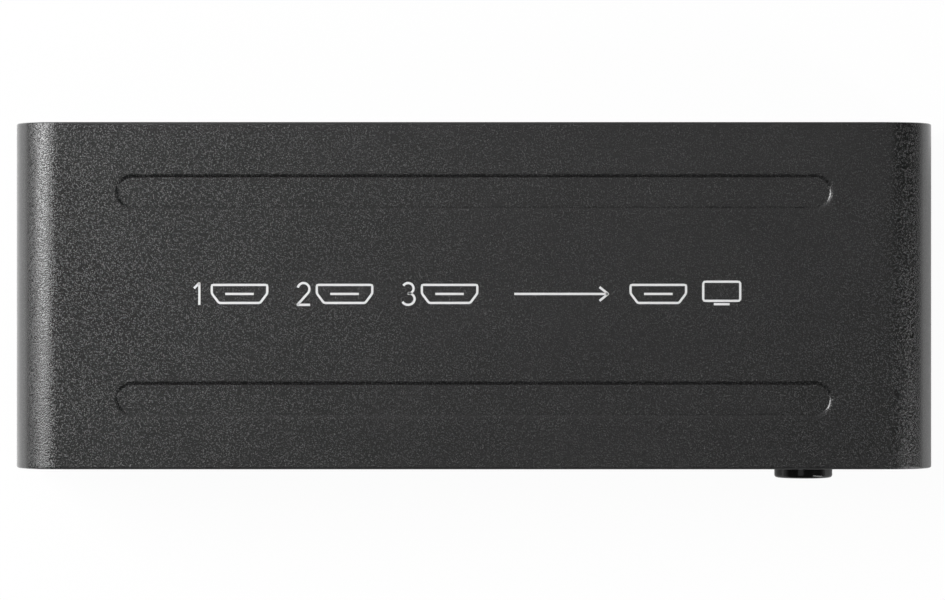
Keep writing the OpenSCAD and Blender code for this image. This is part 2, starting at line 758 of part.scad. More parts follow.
module lamp_holders() color("#19191a") difference() {
    for (i = [0 : len(LAMPS) - 1]) translate([lamp_x(i) - holder_w / 2, lamp_back, board_top])
        cube([holder_w, holder_d, switch_axis_h + holder_rise]);
    all_lamp_leads(lead_fit);
}

// Remote sensor and its window

module sensor_window() color("#2a0d10") translate([sensor_x, 0, button_z]) turned_about_y([
    [0, front_face], [window_d / 2, front_face], [window_d / 2, front_inner],
    [window_d / 2 + window_lip, front_inner], [window_d / 2 + window_lip, front_inner + window_lip_t],
    [0, front_inner + window_lip_t]]);

function sensor_dome_profile() = concat(
    [for (a = [0 : 15 : 90]) [sensor_dome_r * sin(a), -sensor_dome_r * cos(a)]], [[0, 0]]);
module remote_sensor() color("#161617") {
    translate([sensor_x - sensor_w / 2, sensor_front, board_top]) cube([sensor_w, sensor_d, sensor_h]);
    translate([sensor_x, sensor_front, button_z]) turned_about_y(sensor_dome_profile());
}

module at_sensor_leads() for (i = [-1 : 1])
    translate([sensor_x + i * sensor_lead_pitch, sensor_front + sensor_d + lead_t / 2, 0]) children();
module sensor_leads() color("#cfcfd2") at_sensor_leads()
    translate([-lead_t / 2, -lead_t / 2, board_z - lead_tail])
        cube([lead_t, lead_t, lead_tail + board_t + sensor_h / 2]);

// Parts on the board

// Places are shares of the board's width and depth, from its middle
module on_board(place) translate([place.x * board_w,
    (board_front + board_rear) / 2 + place.y * (board_rear - board_front), board_top]) children();

pin_mark_r = 0.4;
pin_mark_inset = 1;
pin_mark_depth = 0.1;
module chip_body(w, d, h) translate([0, 0, chip_lift]) difference() {
    translate([-w / 2, -d / 2, 0]) cube([w, d, h]);
    translate([pin_mark_inset - w / 2, pin_mark_inset - d / 2, h - pin_mark_depth])
        cylinder(r = pin_mark_r, h = cut);
}

chip_lift = 0.1;
chip_lead_rise = 0.55;
chip_lead_t = 0.12;
chip_lead_reach = 1;
// A gull-wing lead from the side, from the chip's edge out and down to the board
module gull_wing() {
    knee = chip_lead_reach / 2;
    translate([0, chip_lead_rise]) square([knee, chip_lead_t]);
    translate([knee - chip_lead_t, 0]) square([chip_lead_t, chip_lead_rise + chip_lead_t]);
    translate([knee - chip_lead_t, 0]) square([knee + chip_lead_t, chip_lead_t]);
}

module lead_row(count, pitch, w, edge) for (i = [0 : count - 1])
    translate([(i - (count - 1) / 2) * pitch, edge, 0]) across(w) gull_wing();

switching_chip_at = [-0.067, -0.083];
switching_chip_w = 10;
switching_chip_h = 1.4;
switching_lead_count = 16;
switching_lead_pitch = 0.5;
switching_lead_w = 0.22;
module switching_chip() color("#1a1a1b") on_board(switching_chip_at)
    chip_body(switching_chip_w, switching_chip_w, switching_chip_h);
module switching_chip_leads() color("#cfcfd2") on_board(switching_chip_at)
    for (turn = [0 : 90 : 270]) rotate([0, 0, turn])
        lead_row(switching_lead_count, switching_lead_pitch, switching_lead_w, switching_chip_w / 2);

control_chip_at = [0.15, -0.104];
control_chip_w = 6.5;
control_chip_d = 4.4;
control_chip_h = 1;
control_lead_count = 10;
control_lead_pitch = 0.65;
control_lead_w = 0.25;
module control_chip() color("#1a1a1b") on_board(control_chip_at)
    chip_body(control_chip_w, control_chip_d, control_chip_h);
module control_chip_leads() color("#cfcfd2") on_board(control_chip_at)
    for (turn = [0, 180]) rotate([0, 0, turn])
        lead_row(control_lead_count, control_lead_pitch, control_lead_w, control_chip_d / 2);

regulator_at = [0.314, 0.106];
regulator_w = 6.5;
regulator_d = 3.5;
regulator_h = 1.6;
regulator_tab_w = 3;
regulator_lead_w = 0.7;
regulator_lead_pitch = 2.3;
regulator_lead_t = 0.3;
regulator_reach = 1.7;
module voltage_regulator() color("#1a1a1b") on_board(regulator_at) {
    translate([-regulator_w / 2, -regulator_d / 2, 0]) cube([regulator_w, regulator_d, regulator_h]);
    translate([-regulator_tab_w / 2, regulator_d / 2, 0])
        cube([regulator_tab_w, regulator_reach, regulator_lead_t]);
    for (i = [-1 : 1])
        translate([i * regulator_lead_pitch - regulator_lead_w / 2, -regulator_d / 2 - regulator_reach, 0])
            cube([regulator_lead_w, regulator_reach, regulator_lead_t]);
}

inductor_at = [0.2545, -0.062];
inductor_w = 6;
inductor_h = 3;
inductor_corner_r = 3.6;
module power_inductor() color("#3b3b3d") on_board(inductor_at) intersection() {
    translate([-inductor_w / 2, -inductor_w / 2, 0]) cube([inductor_w, inductor_w, inductor_h]);
    rotate([0, 0, 22.5]) cylinder(r = inductor_corner_r, h = inductor_h, $fn = 8);
}

capacitor_places = [[0.329, -0.083], [0.397, -0.083]];
capacitor_d = 6.3;
capacitor_h = 5.4;
capacitor_seat_h = 0.6;
capacitor_seat_w = 6.6;
module smoothing_capacitors() color("#b8bbbf") for (place = capacitor_places) on_board(place) {
    translate([-capacitor_seat_w / 2, -capacitor_seat_w / 2, 0])
        cube([capacitor_seat_w, capacitor_seat_w, capacitor_seat_h]);
    translate([0, 0, capacitor_seat_h]) cylinder(d = capacitor_d, h = capacitor_h - capacitor_seat_h);
}

crystal_at = [0.045, -0.2516];
crystal_w = 11.4;
crystal_d = 4.7;
crystal_h = 3.6;
crystal_rim = 0.5;
crystal_rim_h = 0.6;
crystal_end_gap = 0.05;
module timing_crystal() color("#c4c6c9") on_board(crystal_at) {
    end_r = crystal_d / 2 - crystal_end_gap;
    linear_extrude(crystal_rim_h) rounded_plate(crystal_w, crystal_d, end_r);
    linear_extrude(crystal_h)
        rounded_plate(crystal_w - 2 * crystal_rim, crystal_d - 2 * crystal_rim, end_r - crystal_rim);
}

// A row of small parts in front of each socket
component_count = 8;
component_w = 0.6;
component_d = 1.2;
component_h = 0.45;
component_pitch = 1.5;
component_gap = 4;
module chip_components() color("#8a7a66") for (i = [0 : socket_count - 1], k = [0 : component_count - 1])
    translate([socket_x(i) + (k - (component_count - 1) / 2) * component_pitch - component_w / 2,
        mouth_y - socket_len - component_gap - component_d / 2, board_top])
        cube([component_w, component_d, component_h]);

in_case() top_cover();
in_case() base_tray();
in_case() cover_screws();
in_case() board_standoffs();
in_case() circuit_board();
in_case() board_screws();
for (i = [0 : len(FEET) - 1])
    in_case() foot(i);
in_case() select_button();
in_case() switch_plunger();
in_case() switch_dome();
in_case() switch_housing();
in_case() switch_bracket();
in_case() switch_terminals();
for (i = [0 : socket_count - 1]) {
    in_case() at_socket(i) socket_shell();
    in_case() at_socket(i) socket_insulator();
    in_case() at_socket(i) socket_contacts();
}
in_case() power_jack_body();
in_case() power_jack_pin();
in_case() power_jack_spring();
for (i = [0 : len(LAMPS) - 1])
    in_case() lamp(i);
in_case() lamp_holders();
in_case() lamp_leads();
in_case() sensor_window();
in_case() remote_sensor();
in_case() sensor_leads();
in_case() switching_chip();
in_case() switching_chip_leads();
in_case() control_chip();
in_case() control_chip_leads();
in_case() voltage_regulator();
in_case() power_inductor();
in_case() smoothing_capacitors();
in_case() timing_crystal();
in_case() chip_components();
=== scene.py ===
# %% [markdown]
# # A video switch box
# The object is a flat box of folded steel with a round select button on its front edge. Its cover is
# one sheet with two round bends and two long pressed slots, under a finely textured dark coat.
# The CAD model gives the true sizes and the moving parts. This lesson dresses it: each piece that can
# be seen is worked out again as a smooth surface with rounded edges, and every finish is built from
# procedural nodes.

import json
import math
from collections import namedtuple

import bmesh
import bpy
import numpy as np
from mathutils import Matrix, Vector


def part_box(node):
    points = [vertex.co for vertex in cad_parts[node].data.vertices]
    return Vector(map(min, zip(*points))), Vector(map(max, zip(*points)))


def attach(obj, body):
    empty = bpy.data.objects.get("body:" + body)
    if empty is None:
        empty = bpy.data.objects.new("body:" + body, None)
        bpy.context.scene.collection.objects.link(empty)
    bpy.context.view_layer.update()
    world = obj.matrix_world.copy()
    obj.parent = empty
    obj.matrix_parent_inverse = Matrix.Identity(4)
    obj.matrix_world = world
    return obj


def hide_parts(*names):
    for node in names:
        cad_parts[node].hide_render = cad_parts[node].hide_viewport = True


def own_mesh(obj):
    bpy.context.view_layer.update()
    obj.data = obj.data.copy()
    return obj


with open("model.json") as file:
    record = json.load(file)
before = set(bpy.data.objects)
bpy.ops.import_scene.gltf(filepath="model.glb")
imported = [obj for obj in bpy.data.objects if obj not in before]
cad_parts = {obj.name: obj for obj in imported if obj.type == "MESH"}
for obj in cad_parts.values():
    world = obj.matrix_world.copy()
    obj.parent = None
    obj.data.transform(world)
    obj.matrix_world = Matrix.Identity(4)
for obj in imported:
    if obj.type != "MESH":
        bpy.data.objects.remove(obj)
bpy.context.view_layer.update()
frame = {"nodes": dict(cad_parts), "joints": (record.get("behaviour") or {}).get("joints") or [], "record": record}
MM = 0.001


def box_mm(node):
    """Lowest and highest corner of a CAD node, in millimetres."""
    low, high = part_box(node)
    return np.array(low) / MM, np.array(high) / MM


def middle_mm(node):
    """The middle of a CAD node's box, in millimetres."""
    return np.mean(box_mm(node), axis=0)


# %% [markdown]
# ## Grids of points
# A pressed sheet, a turned knob and a moulded tongue can all be drawn as a grid: rows of points one
# way, columns the other way, and a quad in every cell. Blender could also carve such shapes with
# modifiers, but a formula keeps each edge exactly where the drawing puts it, and a whole grid is one
# numpy expression.


# %% Grids and closed loops
def cell_corners(rows, cols, closed):
    """Corner numbers of every cell: (i, j), (i, j+1), (i+1, j+1), (i+1, j). A closed grid joins its
    last column to its first."""
    number = np.arange(rows * cols).reshape(rows, cols)
    if closed:
        number = np.hstack([number, number[:, :1]])
    return np.stack([number[:-1, :-1], number[:-1, 1:], number[1:, 1:], number[1:, :-1]], -1)


def patch(grid, closed=False, keep=None):
    """A grid, rows by columns by three, as a list of points and the quads of the cells to keep."""
    grid = np.asarray(grid, float)
    cells = cell_corners(*grid.shape[:2], closed)
    return grid.reshape(-1, 3), cells.reshape(-1, 4) if keep is None else cells[keep]


def capped(loops):
    """Closed loops in a row, with both ends drawn together to a point in their middle."""
    loops = np.asarray(loops, float)
    first, last = (np.broadcast_to(loop.mean(0), loop.shape)[None] for loop in (loops[0], loops[-1]))
    return patch(np.concatenate([first, loops, last]), closed=True)


# %% Lines and turned profiles
def unit(vectors):
    return vectors / np.linalg.norm(vectors, axis=-1, keepdims=True)


def rounded(corners, radii, steps=5):
    """A line through the corners, where each inner corner C becomes a curve from A to B, both at its
    radius from the corner: (1-t)^2 A + 2t(1-t) C + t^2 B."""
    corners = np.asarray(corners, float)
    t = np.linspace(0, 1, steps + 1)[:, None]
    line = [corners[:1]]
    for before, corner, after, radius in zip(corners, corners[1:], corners[2:], radii):
        start, stop = (corner + unit(end - corner) * radius for end in (before, after))
        curve = (1 - t) ** 2 * start + 2 * t * (1 - t) * corner + t**2 * stop
        line.append(curve if radius else corner[None])
    return np.concatenate(line + [corners[-1:]])


ALONG = {"y": (1, (0, 2)), "z": (2, (0, 1))}


def turned(profile, centre, axis="y", sides=96):
    """A profile of (radius, distance along the axis) turned about the axis through centre: the point at
    angle a lies radius times (cos a, sin a) from the axis. A radius of zero closes the end."""
    radius, along = np.asarray(profile, float).T
    angle = np.linspace(0, 2 * np.pi, sides, endpoint=False)
    grid = np.tile(np.asarray(centre, float), (len(radius), sides, 1))
    main, (first, second) = ALONG[axis]
    grid[..., main] += along[:, None]
    grid[..., first] += radius[:, None] * np.cos(angle)
    grid[..., second] += radius[:, None] * np.sin(angle)
    return patch(grid, closed=True)


# %% [markdown]
# ## From grids to a piece
# A piece is one or more patches. Points that fall on each other are made one, so that seams and poles
# close, and a quad that has lost a corner there becomes a triangle. The faces are then turned outwards
# and smoothed, except across edges that the real piece has sharp.

# %% Make a piece
WELD_PER_MM = 1000
WELD_SHIFT = 0.317
finishes = {}


def joined(patches):
    """All the patches as one list of points, with twins within a thousandth of a millimetre made one."""
    starts = np.cumsum([0] + [len(points) for points, _ in patches])
    points = np.concatenate([points for points, _ in patches])
    quads = np.concatenate([cells + start for (_, cells), start in zip(patches, starts)])
    key = np.round(points * WELD_PER_MM + WELD_SHIFT).astype(np.int64)
    _, first, twin = np.unique(key, axis=0, return_index=True, return_inverse=True)
    quads = twin.reshape(-1)[quads]
    lost = quads == np.roll(quads, -1, 1)
    whole, thin = lost.sum(1) == 0, lost.sum(1) == 1
    triangles = quads[thin][~lost[thin]].reshape(-1, 3)
    return points[first], quads[whole].tolist() + triangles.tolist()


def make_piece(name, patches, slot, stands_for=(), body="case", finish=None, sharp_deg=40):
    """One closed mesh from patches in millimetres, riding on a body and standing for CAD nodes."""
    points, faces = joined(patches)
    mesh = bpy.data.meshes.new(name)
    mesh.from_pydata((points * MM).tolist(), [], faces)
    work = bmesh.new()
    work.from_mesh(mesh)
    bmesh.ops.recalc_face_normals(work, faces=work.faces)
    open_edges = sum(edge.is_boundary for edge in work.edges)
    work.to_mesh(mesh)
    work.free()
    mesh.shade_smooth()
    mesh.set_sharp_from_angle(angle=math.radians(sharp_deg))
    mesh.materials.append(finishes[finish or slot])
    piece = bpy.data.objects.new(name, mesh)
    bpy.context.scene.collection.objects.link(piece)
    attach(piece, body)
    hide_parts(*stands_for)
    print(f"{name}: {len(points)} points, {len(faces)} faces, {open_edges} open edges")
    return piece


# %% [markdown]
# ## Shader maths in Python
# A finish is a small circuit of nodes. Wiring nodes by hand hides the formula, so one class wraps a
# socket and lets Python's own signs add the Math nodes: `1 - mask * 0.3` reads as what it does.


# %% The socket class
class Shade:
    """A socket in a node tree. Plus, minus and times with another socket or a number each add a Math
    node, and add() puts in any other node."""

    def __init__(self, tree, socket=None):
        self.tree, self.socket = tree, socket

    def fill(self, node, inputs):
        """Give each named input a number or colour, or a link from another socket."""
        for key, value in inputs.items():
            if isinstance(value, Shade):
                self.tree.links.new(value.socket, node.inputs[key])
            else:
                node.inputs[key].default_value = value

    def add(self, kind, inputs, settings=None, out=0):
        """A new node: its settings first, then its inputs. Gives back one of its outputs."""
        node = self.tree.nodes.new("ShaderNode" + kind)
        for name, value in (settings or {}).items():
            setattr(node, name, value)
        self.fill(node, inputs)
        return Shade(self.tree, node.outputs[out] if node.outputs else None)

    def maths(self, operation, first, second=0.0):
        return self.add("Math", {0: first, 1: second}, {"operation": operation})

    def __add__(self, other):
        return self.maths("ADD", self, other)

    def __sub__(self, other):
        return self.maths("SUBTRACT", self, other)

    def __rsub__(self, other):
        return self.maths("SUBTRACT", other, self)

    def __mul__(self, other):
        return self.maths("MULTIPLY", self, other)

    __radd__ = __add__
    __rmul__ = __mul__

    def larger(self, other):
        return self.maths("MAXIMUM", self, other)

    def over(self, low, high):
        """0 below low, 1 above high and a smooth step between them."""
        step = {"Value": self, "From Min": low, "From Max": high}
        return self.add("MapRange", step, {"interpolation_type": "SMOOTHSTEP"})

    def mix(self, first, second):
        """One colour where this value is 0, the other where it is 1."""
        return self.add("Mix", {0: self, 6: first, 7: second}, {"data_type": "RGBA"}, out=2)

    def part(self, axis):
        """One coordinate of a vector."""
        return self.add("SeparateXYZ", {"Vector": self}, out=axis)

    def noise(self, size, detail=2.0, out="Fac"):
        """Soft noise over these coordinates, with features of about that size in millimetres."""
        inputs = {"Vector": self, "Scale": 1 / (size * MM), "Detail": detail}
        return self.add("TexNoise", inputs, out=out)

    def bump(self, depth):
        """A normal that follows this height, where 1 stands depth millimetres above 0."""
        return self.add("Bump", {"Distance": depth * MM, "Height": self})


# %% Start and end a finish
def grey(level):
    return (level, level, level, 1.0)


def scaled(colour, by):
    return tuple(part * by for part in colour[:3]) + (1.0,)


def begin_finish(slot):
    """A new material for a slot, and its Object coordinates to start expressions from."""
    material = finishes[slot] = bpy.data.materials.new(slot + "_finish")
    material.use_nodes = True
    return material, Shade(material.node_tree).add("TexCoord", {}, out="Object")


def end_finish(material, inputs):
    """Connect the finished values to the material's shader."""
    tree = material.node_tree
    Shade(tree).fill(tree.nodes["Principled BSDF"], inputs)
    print(material.name, "with", len(tree.nodes), "nodes")


# %% [markdown]
# ## The textured coat
# The sheet is powder coated. The powder melts into pebbles about a fifth of a millimetre across, some
# of them steep, and each mirrors the lamps from its own slope, so that the black seems to sparkle. A
# grey of the right tone would miss that. The colour here is nearly black, and it carries painted shade:
# it falls to black in the pits between the pebbles and is a little paler on their crowns. Most of the
# grey comes from gloss on a relief of Voronoi cells. The coat is not the same all over: it is smooth and
# glossy on the sides, smoother on the slots' walls, and dull on the sheet's cut edges, where the colour
# is painted black for a painted shade line along the front and rear. Three masks say where, and each is
# a distance turned into a number from 0 to 1.

# %% Where the coat changes
cover_low, cover_high = box_mm("top_cover")
cover_middle = (cover_low + cover_high) / 2
half_w, cover_half_d = cover_high[0], (cover_high[1] - cover_low[1]) / 2
print_height = 0.03
cover_top = cover_high[2] - print_height
bend_zone, side_zone, edge_shade_and_dull_zone = (8.4, 7.2), (2.5, 1.6), (0.34, 0.17)
wall_head, wall_foot = (0.01, 0.04), (0.16, 0.19)


def nearing(distance, limit, zone):
    """0 until the distance is zone's first figure short of the limit, 1 from its second one on."""
    return distance.over(*((limit - short) * MM for short in zone))


def coat_masks(place):
    """Masks of the sides, by distance from the middle plane; of the cut edges, by distance towards front
    and rear; and of the slots' walls, by depth under the top."""
    from_side = place.maths("ABSOLUTE", place.part("X"))
    from_middle = place.maths("ABSOLUTE", place.part("Y") - cover_middle[1] * MM)
    sunk = 0 - (place.part("Z") - cover_top * MM)
    flat = 1 - nearing(from_side, half_w, bend_zone)
    side = nearing(from_side, half_w, side_zone)
    # The cut-edge mask paints the colour black on the front and rear cut edges as a painted shade line. It also
    # dulls the gloss and flattens the relief there.
    edge = flat * nearing(from_middle, cover_half_d, edge_shade_and_dull_zone)
    begun, ended = (sunk.over(start * MM, stop * MM) for start, stop in (wall_head, wall_foot))
    return side, edge, flat * begun * (1 - ended)


print("cover", np.round(cover_high - cover_low, 2).tolist(), "mm")

# %% Coats for the sheet metal
pebble, pebble_drift, coat_tone, coat_relief = 0.2, 0.15, 0.0299, 0.0305


def textured_coat(slot):
    """The pebbles' height falls with the distance from each cell's centre. Wander bends the cells, and
    steep makes some of them higher than others."""
    material, place = begin_finish(slot)
    side, edge, wall = coat_masks(place)
    wander = {0: place.noise(0.5, out="Color"), 1: (pebble_drift * MM,) * 3, 2: place}
    bent = place.add("VectorMath", wander, {"operation": "MULTIPLY_ADD"})
    from_centre = bent.add("TexVoronoi", {"Vector": bent, "Scale": 1 / (pebble * MM)}, out="Distance")
    specks = place.noise(0.16).over(0.46, 0.62)
    steep = place.noise(0.3).over(0.4, 0.6) * 0.45 + 0.6
    height = (1 - from_centre.over(0.05, 0.75)) * steep + place.noise(0.14) * 0.25 + specks * 0.2
    cloud = place.noise(9.0)
    glossy = place.noise(0.45).over(0.48, 0.62)
    # Painted shade: the colour is black in the pits between the pebbles and paler on their crowns, and the cloud
    # adds a slow random change in tone.
    pebble_shade_and_tone = height.over(0.3, 0.9) * 0.8 + cloud * 0.2
    end_finish(material, {
        # Painted shade in the base colour: black in the pebbles' pits and along the front and rear cut edges.
        "Base Color": (pebble_shade_and_tone * (1 - edge)).mix(grey(0.0), grey(coat_tone)),
        "Roughness": 0.21 - glossy * 0.05 + (cloud - 0.5) * 0.04 + edge * 0.4,
        "Specular IOR Level": 0.78,
        "Coat Weight": side * 0.75,
        "Coat Roughness": 0.34,
        "Normal": (height * (1 - edge) * (1 - wall * 0.6) * (1 - side * 0.8)).bump(coat_relief),
    })


for sheet_slot in ("cover_coat", "tray_coat"):
    textured_coat(sheet_slot)

# %% [markdown]
# ## Plastics, rubber, resin and ink
# The button is polished black plastic, with the faint waviness of a moulding. The socket tongues and
# the jack are duller plastic, and the feet are rubber. The lamps are clear resin and the sensor hides
# behind a dark red one. All are one circuit: a fine grain in the relief, and a slow change in tone and
# gloss.


# %% Moulded finishes
def moulded(slot, colour, roughness, grain, relief, **fixed):
    """Plastic, rubber, resin or ink. Grain and relief are in millimetres."""
    material, place = begin_finish(slot)
    cloud = place.noise(2.5)
    varied = {
        "Base Color": cloud.mix(scaled(colour, 0.88), colour),
        "Roughness": roughness + (cloud - 0.5) * roughness * 0.5,
        "Normal": place.noise(grain, detail=3.0).bump(relief),
    }
    end_finish(material, {**varied, **fixed})


SOFT_GLOSS = {"Specular IOR Level": 0.42}
CLEAR = {"Transmission Weight": 0.45, "IOR": 1.52}
moulded("button_black", grey(0.004), 0.1, 1.6, 0.008, **SOFT_GLOSS)
moulded("black_plastic", grey(0.012), 0.42, 0.18, 0.012)
moulded("foot_rubber", grey(0.014), 0.78, 0.12, 0.03)
moulded("chip_resin", grey(0.018), 0.55, 0.08, 0.015)
moulded("ferrite", grey(0.04), 0.6, 0.15, 0.02)
moulded("ceramic", (0.3, 0.22, 0.15, 1.0), 0.5, 0.1, 0.01)
moulded("sensor_resin", grey(0.01), 0.12, 1.0, 0.004)
moulded("lamp_resin", (0.72, 0.77, 0.82, 1.0), 0.16, 0.8, 0.006, **CLEAR)
moulded("window_tint", (0.035, 0.004, 0.006, 1.0), 0.07, 1.5, 0.003)
moulded("white_ink", grey(0.8), 0.6, 0.1, 0.01)

# %% [markdown]
# ## Metals and the board
# The shells are tinned steel that was rolled before it was bent, so its fine lines run along the
# sheet. The contacts are gold plated, the standoffs are brass, and the cans on the board are drawn
# aluminium. One circuit gives them all: noise that is drawn out along one direction. The board is green
# lacquer over copper, whose tracks show as paler stripes.

# %% Metal finishes
EVEN, ALONG_Y, ALONG_Z = (1.0, 1.0, 1.0), (1.0, 0.06, 1.0), (1.0, 1.0, 0.06)


def rolled_metal(slot, colour, roughness, stretch=EVEN):
    """Metal whose tone and gloss follow lines: noise over coordinates that are squeezed along them."""
    material, place = begin_finish(slot)
    lines = place.add("Mapping", {"Vector": place, "Scale": stretch}).noise(0.12, detail=3.0)
    stain = place.noise(3.0).over(0.35, 0.75)
    end_finish(material, {
        "Base Color": (lines * 0.5 + stain * 0.5).mix(scaled(colour, 0.82), colour),
        "Metallic": 1.0,
        "Roughness": roughness + (lines - 0.5) * 0.18 + stain * 0.05,
        "Normal": lines.bump(0.004),
    })


rolled_metal("plated_steel", (0.63, 0.62, 0.6, 1.0), 0.26, ALONG_Y)
rolled_metal("contact_gold", (0.86, 0.6, 0.22, 1.0), 0.24, ALONG_Y)
rolled_metal("can_aluminium", (0.72, 0.72, 0.73, 1.0), 0.3, ALONG_Z)
rolled_metal("screw_steel", (0.56, 0.56, 0.55, 1.0), 0.3)
rolled_metal("screw_black", (0.05, 0.05, 0.052, 1.0), 0.42)
rolled_metal("standoff_brass", (0.62, 0.57, 0.47, 1.0), 0.32)

# %% Board lacquer
lacquer, board_place = begin_finish("board_mask")
wave = board_place.add("TexWave", {"Vector": board_place, "Scale": 90.0, "Distortion": 3.0}, out="Fac")
tracks = wave.over(0.55, 0.62)
end_finish(lacquer, {
    "Base Color": tracks.mix((0.008, 0.085, 0.03, 1.0), (0.015, 0.13, 0.05, 1.0)),
    "Roughness": 0.38 - tracks * 0.08,
    "Normal": tracks.bump(0.03),
})

# %% [markdown]
# ## Sheets with holes and pressings
# The cover and the tray are both sheet metal: an outer skin, an inner skin one thickness below it, and
# a cut edge that the coat rounds slightly. Each skin is a grid laid along the folded section. Where the
# sheet has a hole or a pressing, a block of cells is left out, and loops of points lead from the border
# of that block to the hole's edge, down its wall and out again to the inner skin. A boolean cut would
# leave long thin faces there, and no row of points to round the edge with.


# %% Borders and cut edges
def border(low_row, high_row, low_col, high_col):
    """Row and column numbers round a block of points, in order."""
    rows, cols = np.arange(low_row, high_row), np.arange(low_col, high_col)
    row_line = [np.full(len(cols), low_row), rows, np.full(len(cols), high_row), rows[::-1] + 1]
    col_line = [cols, np.full(len(rows), high_col), cols[::-1] + 1, np.full(len(rows), low_col)]
    return np.concatenate(row_line), np.concatenate(col_line)


def edge_arc(edge_r, steps=3):
    """A quarter circle as (how far out, how far down), from the skin to the cut face."""
    turn = np.linspace(0, np.pi / 2, steps + 1)
    return edge_r * np.sin(turn), edge_r * (1 - np.cos(turn))


def edge_loops(outer, inner, outward, edge_r):
    """Loops from one skin's border to the other's: out and down along a quarter circle, straight across
    the cut, and back along a second quarter circle."""
    inward = unit(inner - outer)
    out, down = edge_arc(edge_r)
    upper = [outer + outward * o + inward * d for o, d in zip(out, down)]
    lower = [inner + outward * o - inward * d for o, d in zip(out[::-1], down[::-1])]
    return patch(upper + lower, closed=True)


def cut_edge(outer, inner, edge_r):
    """The rounded edge round a whole sheet. Outwards is square to the border and in the sheet."""
    along = np.roll(outer, -1, 0) - np.roll(outer, 1, 0)
    outward = unit(np.cross(along, inner - outer))
    outward *= np.sign(np.sum(outward * (outer - outer.mean(0))))
    return edge_loops(outer, inner, outward, edge_r)


# %% Features in a sheet
Feature = namedtuple("Feature", "rows cols centre across up loops through")


def hole(reach, wall):
    """Loops of a through hole: each border point's direction, at the outline's reach in that direction
    plus the growth that the wall has at each depth."""
    def loops(offset):
        angle = np.arctan2(offset[:, 1], offset[:, 0])
        way = np.stack([np.cos(angle), np.sin(angle)], 1)
        return [(way * (reach(angle) + grow)[:, None], depth) for grow, depth in wall]
    return loops


def circle(radius):
    """The reach of a round hole: the same in every direction."""
    return lambda angle: np.full(len(angle), radius)


def plain_wall(thickness, edge_r=0.12):
    """A hole's wall as (growth of its radius, depth), round at both edges."""
    out, down = edge_arc(edge_r, 2)
    upper = np.stack([edge_r - out, down], 1)
    return np.concatenate([upper, upper[::-1] * [1, -1] + [0, thickness]])


def sheet(outer, inner, edge_r, features):
    """Both skins without the cells under the features, the cut edge, and the features' loops. A through
    feature joins the skins; any other is pressed, and is made on both."""
    keep = np.ones((outer.shape[0] - 1, outer.shape[1] - 1), bool)
    whole = border(0, keep.shape[0], 0, keep.shape[1])
    patches = [cut_edge(outer[whole], inner[whole], edge_r)]
    for spot in features:
        keep[slice(*spot.rows), slice(*spot.cols)] = False
        ring = border(*spot.rows, *spot.cols)
        plane = np.stack([spot.across, spot.up])
        thick = inner[ring] - outer[ring]
        inward = unit(thick.mean(0))
        offset = (outer[ring] - spot.centre) @ plane.T
        chain = [spot.centre + flat @ plane + inward * depth for flat, depth in spot.loops(offset)]
        if spot.through:
            patches.append(patch([outer[ring], *chain, inner[ring]], closed=True))
        else:
            patches.append(patch([outer[ring], *chain], closed=True))
            patches.append(patch([inner[ring], *(loop + thick for loop in chain)], closed=True))
    return patches + [patch(outer, keep=keep), patch(inner, keep=keep)]


def block(lines, middle, half):
    """The first and last line of a block that holds everything within half of middle."""
    return int(np.searchsorted(lines, middle - half) - 1), int(np.searchsorted(lines, middle + half))


def crowded(stops, spacings):
    """Lines from stop to stop, about one spacing apart in each stretch."""
    counts = [max(2, round((b - a) / gap) + 1) for a, b, gap in zip(stops, stops[1:], spacings)]
    parts = [np.linspace(a, b, count)[:-1] for a, b, count in zip(stops, stops[1:], counts)]
    return np.concatenate(parts + [stops[-1:]])


X, Y, Z = np.eye(3)

# %% [markdown]
# ## The cover
# The cover's section is an upside-down U with a 7 mm bend at each side. The slots were pressed with a
# die: the sheet rolls over a soft edge, steepens, and meets the slot's flat floor in a sharp line.
# That roll is what draws the dark line along each slot's far side, so it is modelled, and not painted.
# The loops of a slot follow its outline, so the line stays clean round the ends too.

# %% Cover: section
cover_t, bend_r, cover_edge_r = 1.2, 7.0, 0.28
slot_length, slot_width, slot_depth, slot_wall, slot_pitch = 109.0, 5.7, 0.2, 0.65, 31.4
flat_w = half_w - bend_r
slot_end, slot_reach = slot_length / 2, (slot_length - slot_width) / 2
slot_room, edge_line = 0.5, 0.1
block_room = slot_room * 0.9
top_stops = [slot_reach, slot_end + slot_room, flat_w]
top_x = crowded([-stop for stop in top_stops[::-1]] + top_stops, [1.2, 0.3, 2.6, 0.3, 1.2])
wall_z = crowded([cover_low[2] + cover_edge_r, 8.0, 13.0, cover_top - bend_r], [0.8, 0.45, 0.4])
bend = np.radians(np.linspace(0, 90, 27)[1:-1])
bend_x, bend_z = flat_w + bend_r * np.cos(bend), cover_top - bend_r + bend_r * np.sin(bend)
side_x, side_z = np.concatenate([np.full(len(wall_z), half_w), bend_x]), np.concatenate([wall_z, bend_z])
section_x = np.concatenate([-side_x, top_x, side_x[::-1]])
section_z = np.concatenate([side_z, np.full(len(top_x), cover_top), side_z[::-1]])
normal_x = np.clip(np.abs(section_x) - flat_w, 0, bend_r) / bend_r * np.sign(section_x)
normal_z = np.clip(section_z - cover_top + bend_r, 0, bend_r) / bend_r
band = [slot_pitch / 2 - slot_width / 2 - slot_room, slot_pitch / 2 + slot_width / 2 + slot_room]
edge_y = cover_half_d - cover_edge_r
half_y = crowded([0.0, *band, edge_y - edge_line, edge_y], [1.6, 0.3, 1.2, edge_line])
cover_y = cover_middle[1] + np.concatenate([-half_y[:0:-1], half_y])


def cover_skin(below):
    """The section's points, moved in by below along their normals, repeated at every Y."""
    grid = np.zeros((len(section_x), len(cover_y), 3))
    grid[..., 0] = (section_x - below * normal_x)[:, None]
    grid[..., 1] = cover_y
    grid[..., 2] = (section_z - below * normal_z)[:, None]
    return grid


print("cover grid", len(section_x), "by", len(cover_y), "lines")

# %% Cover: pressed slots
wall_steps = 11


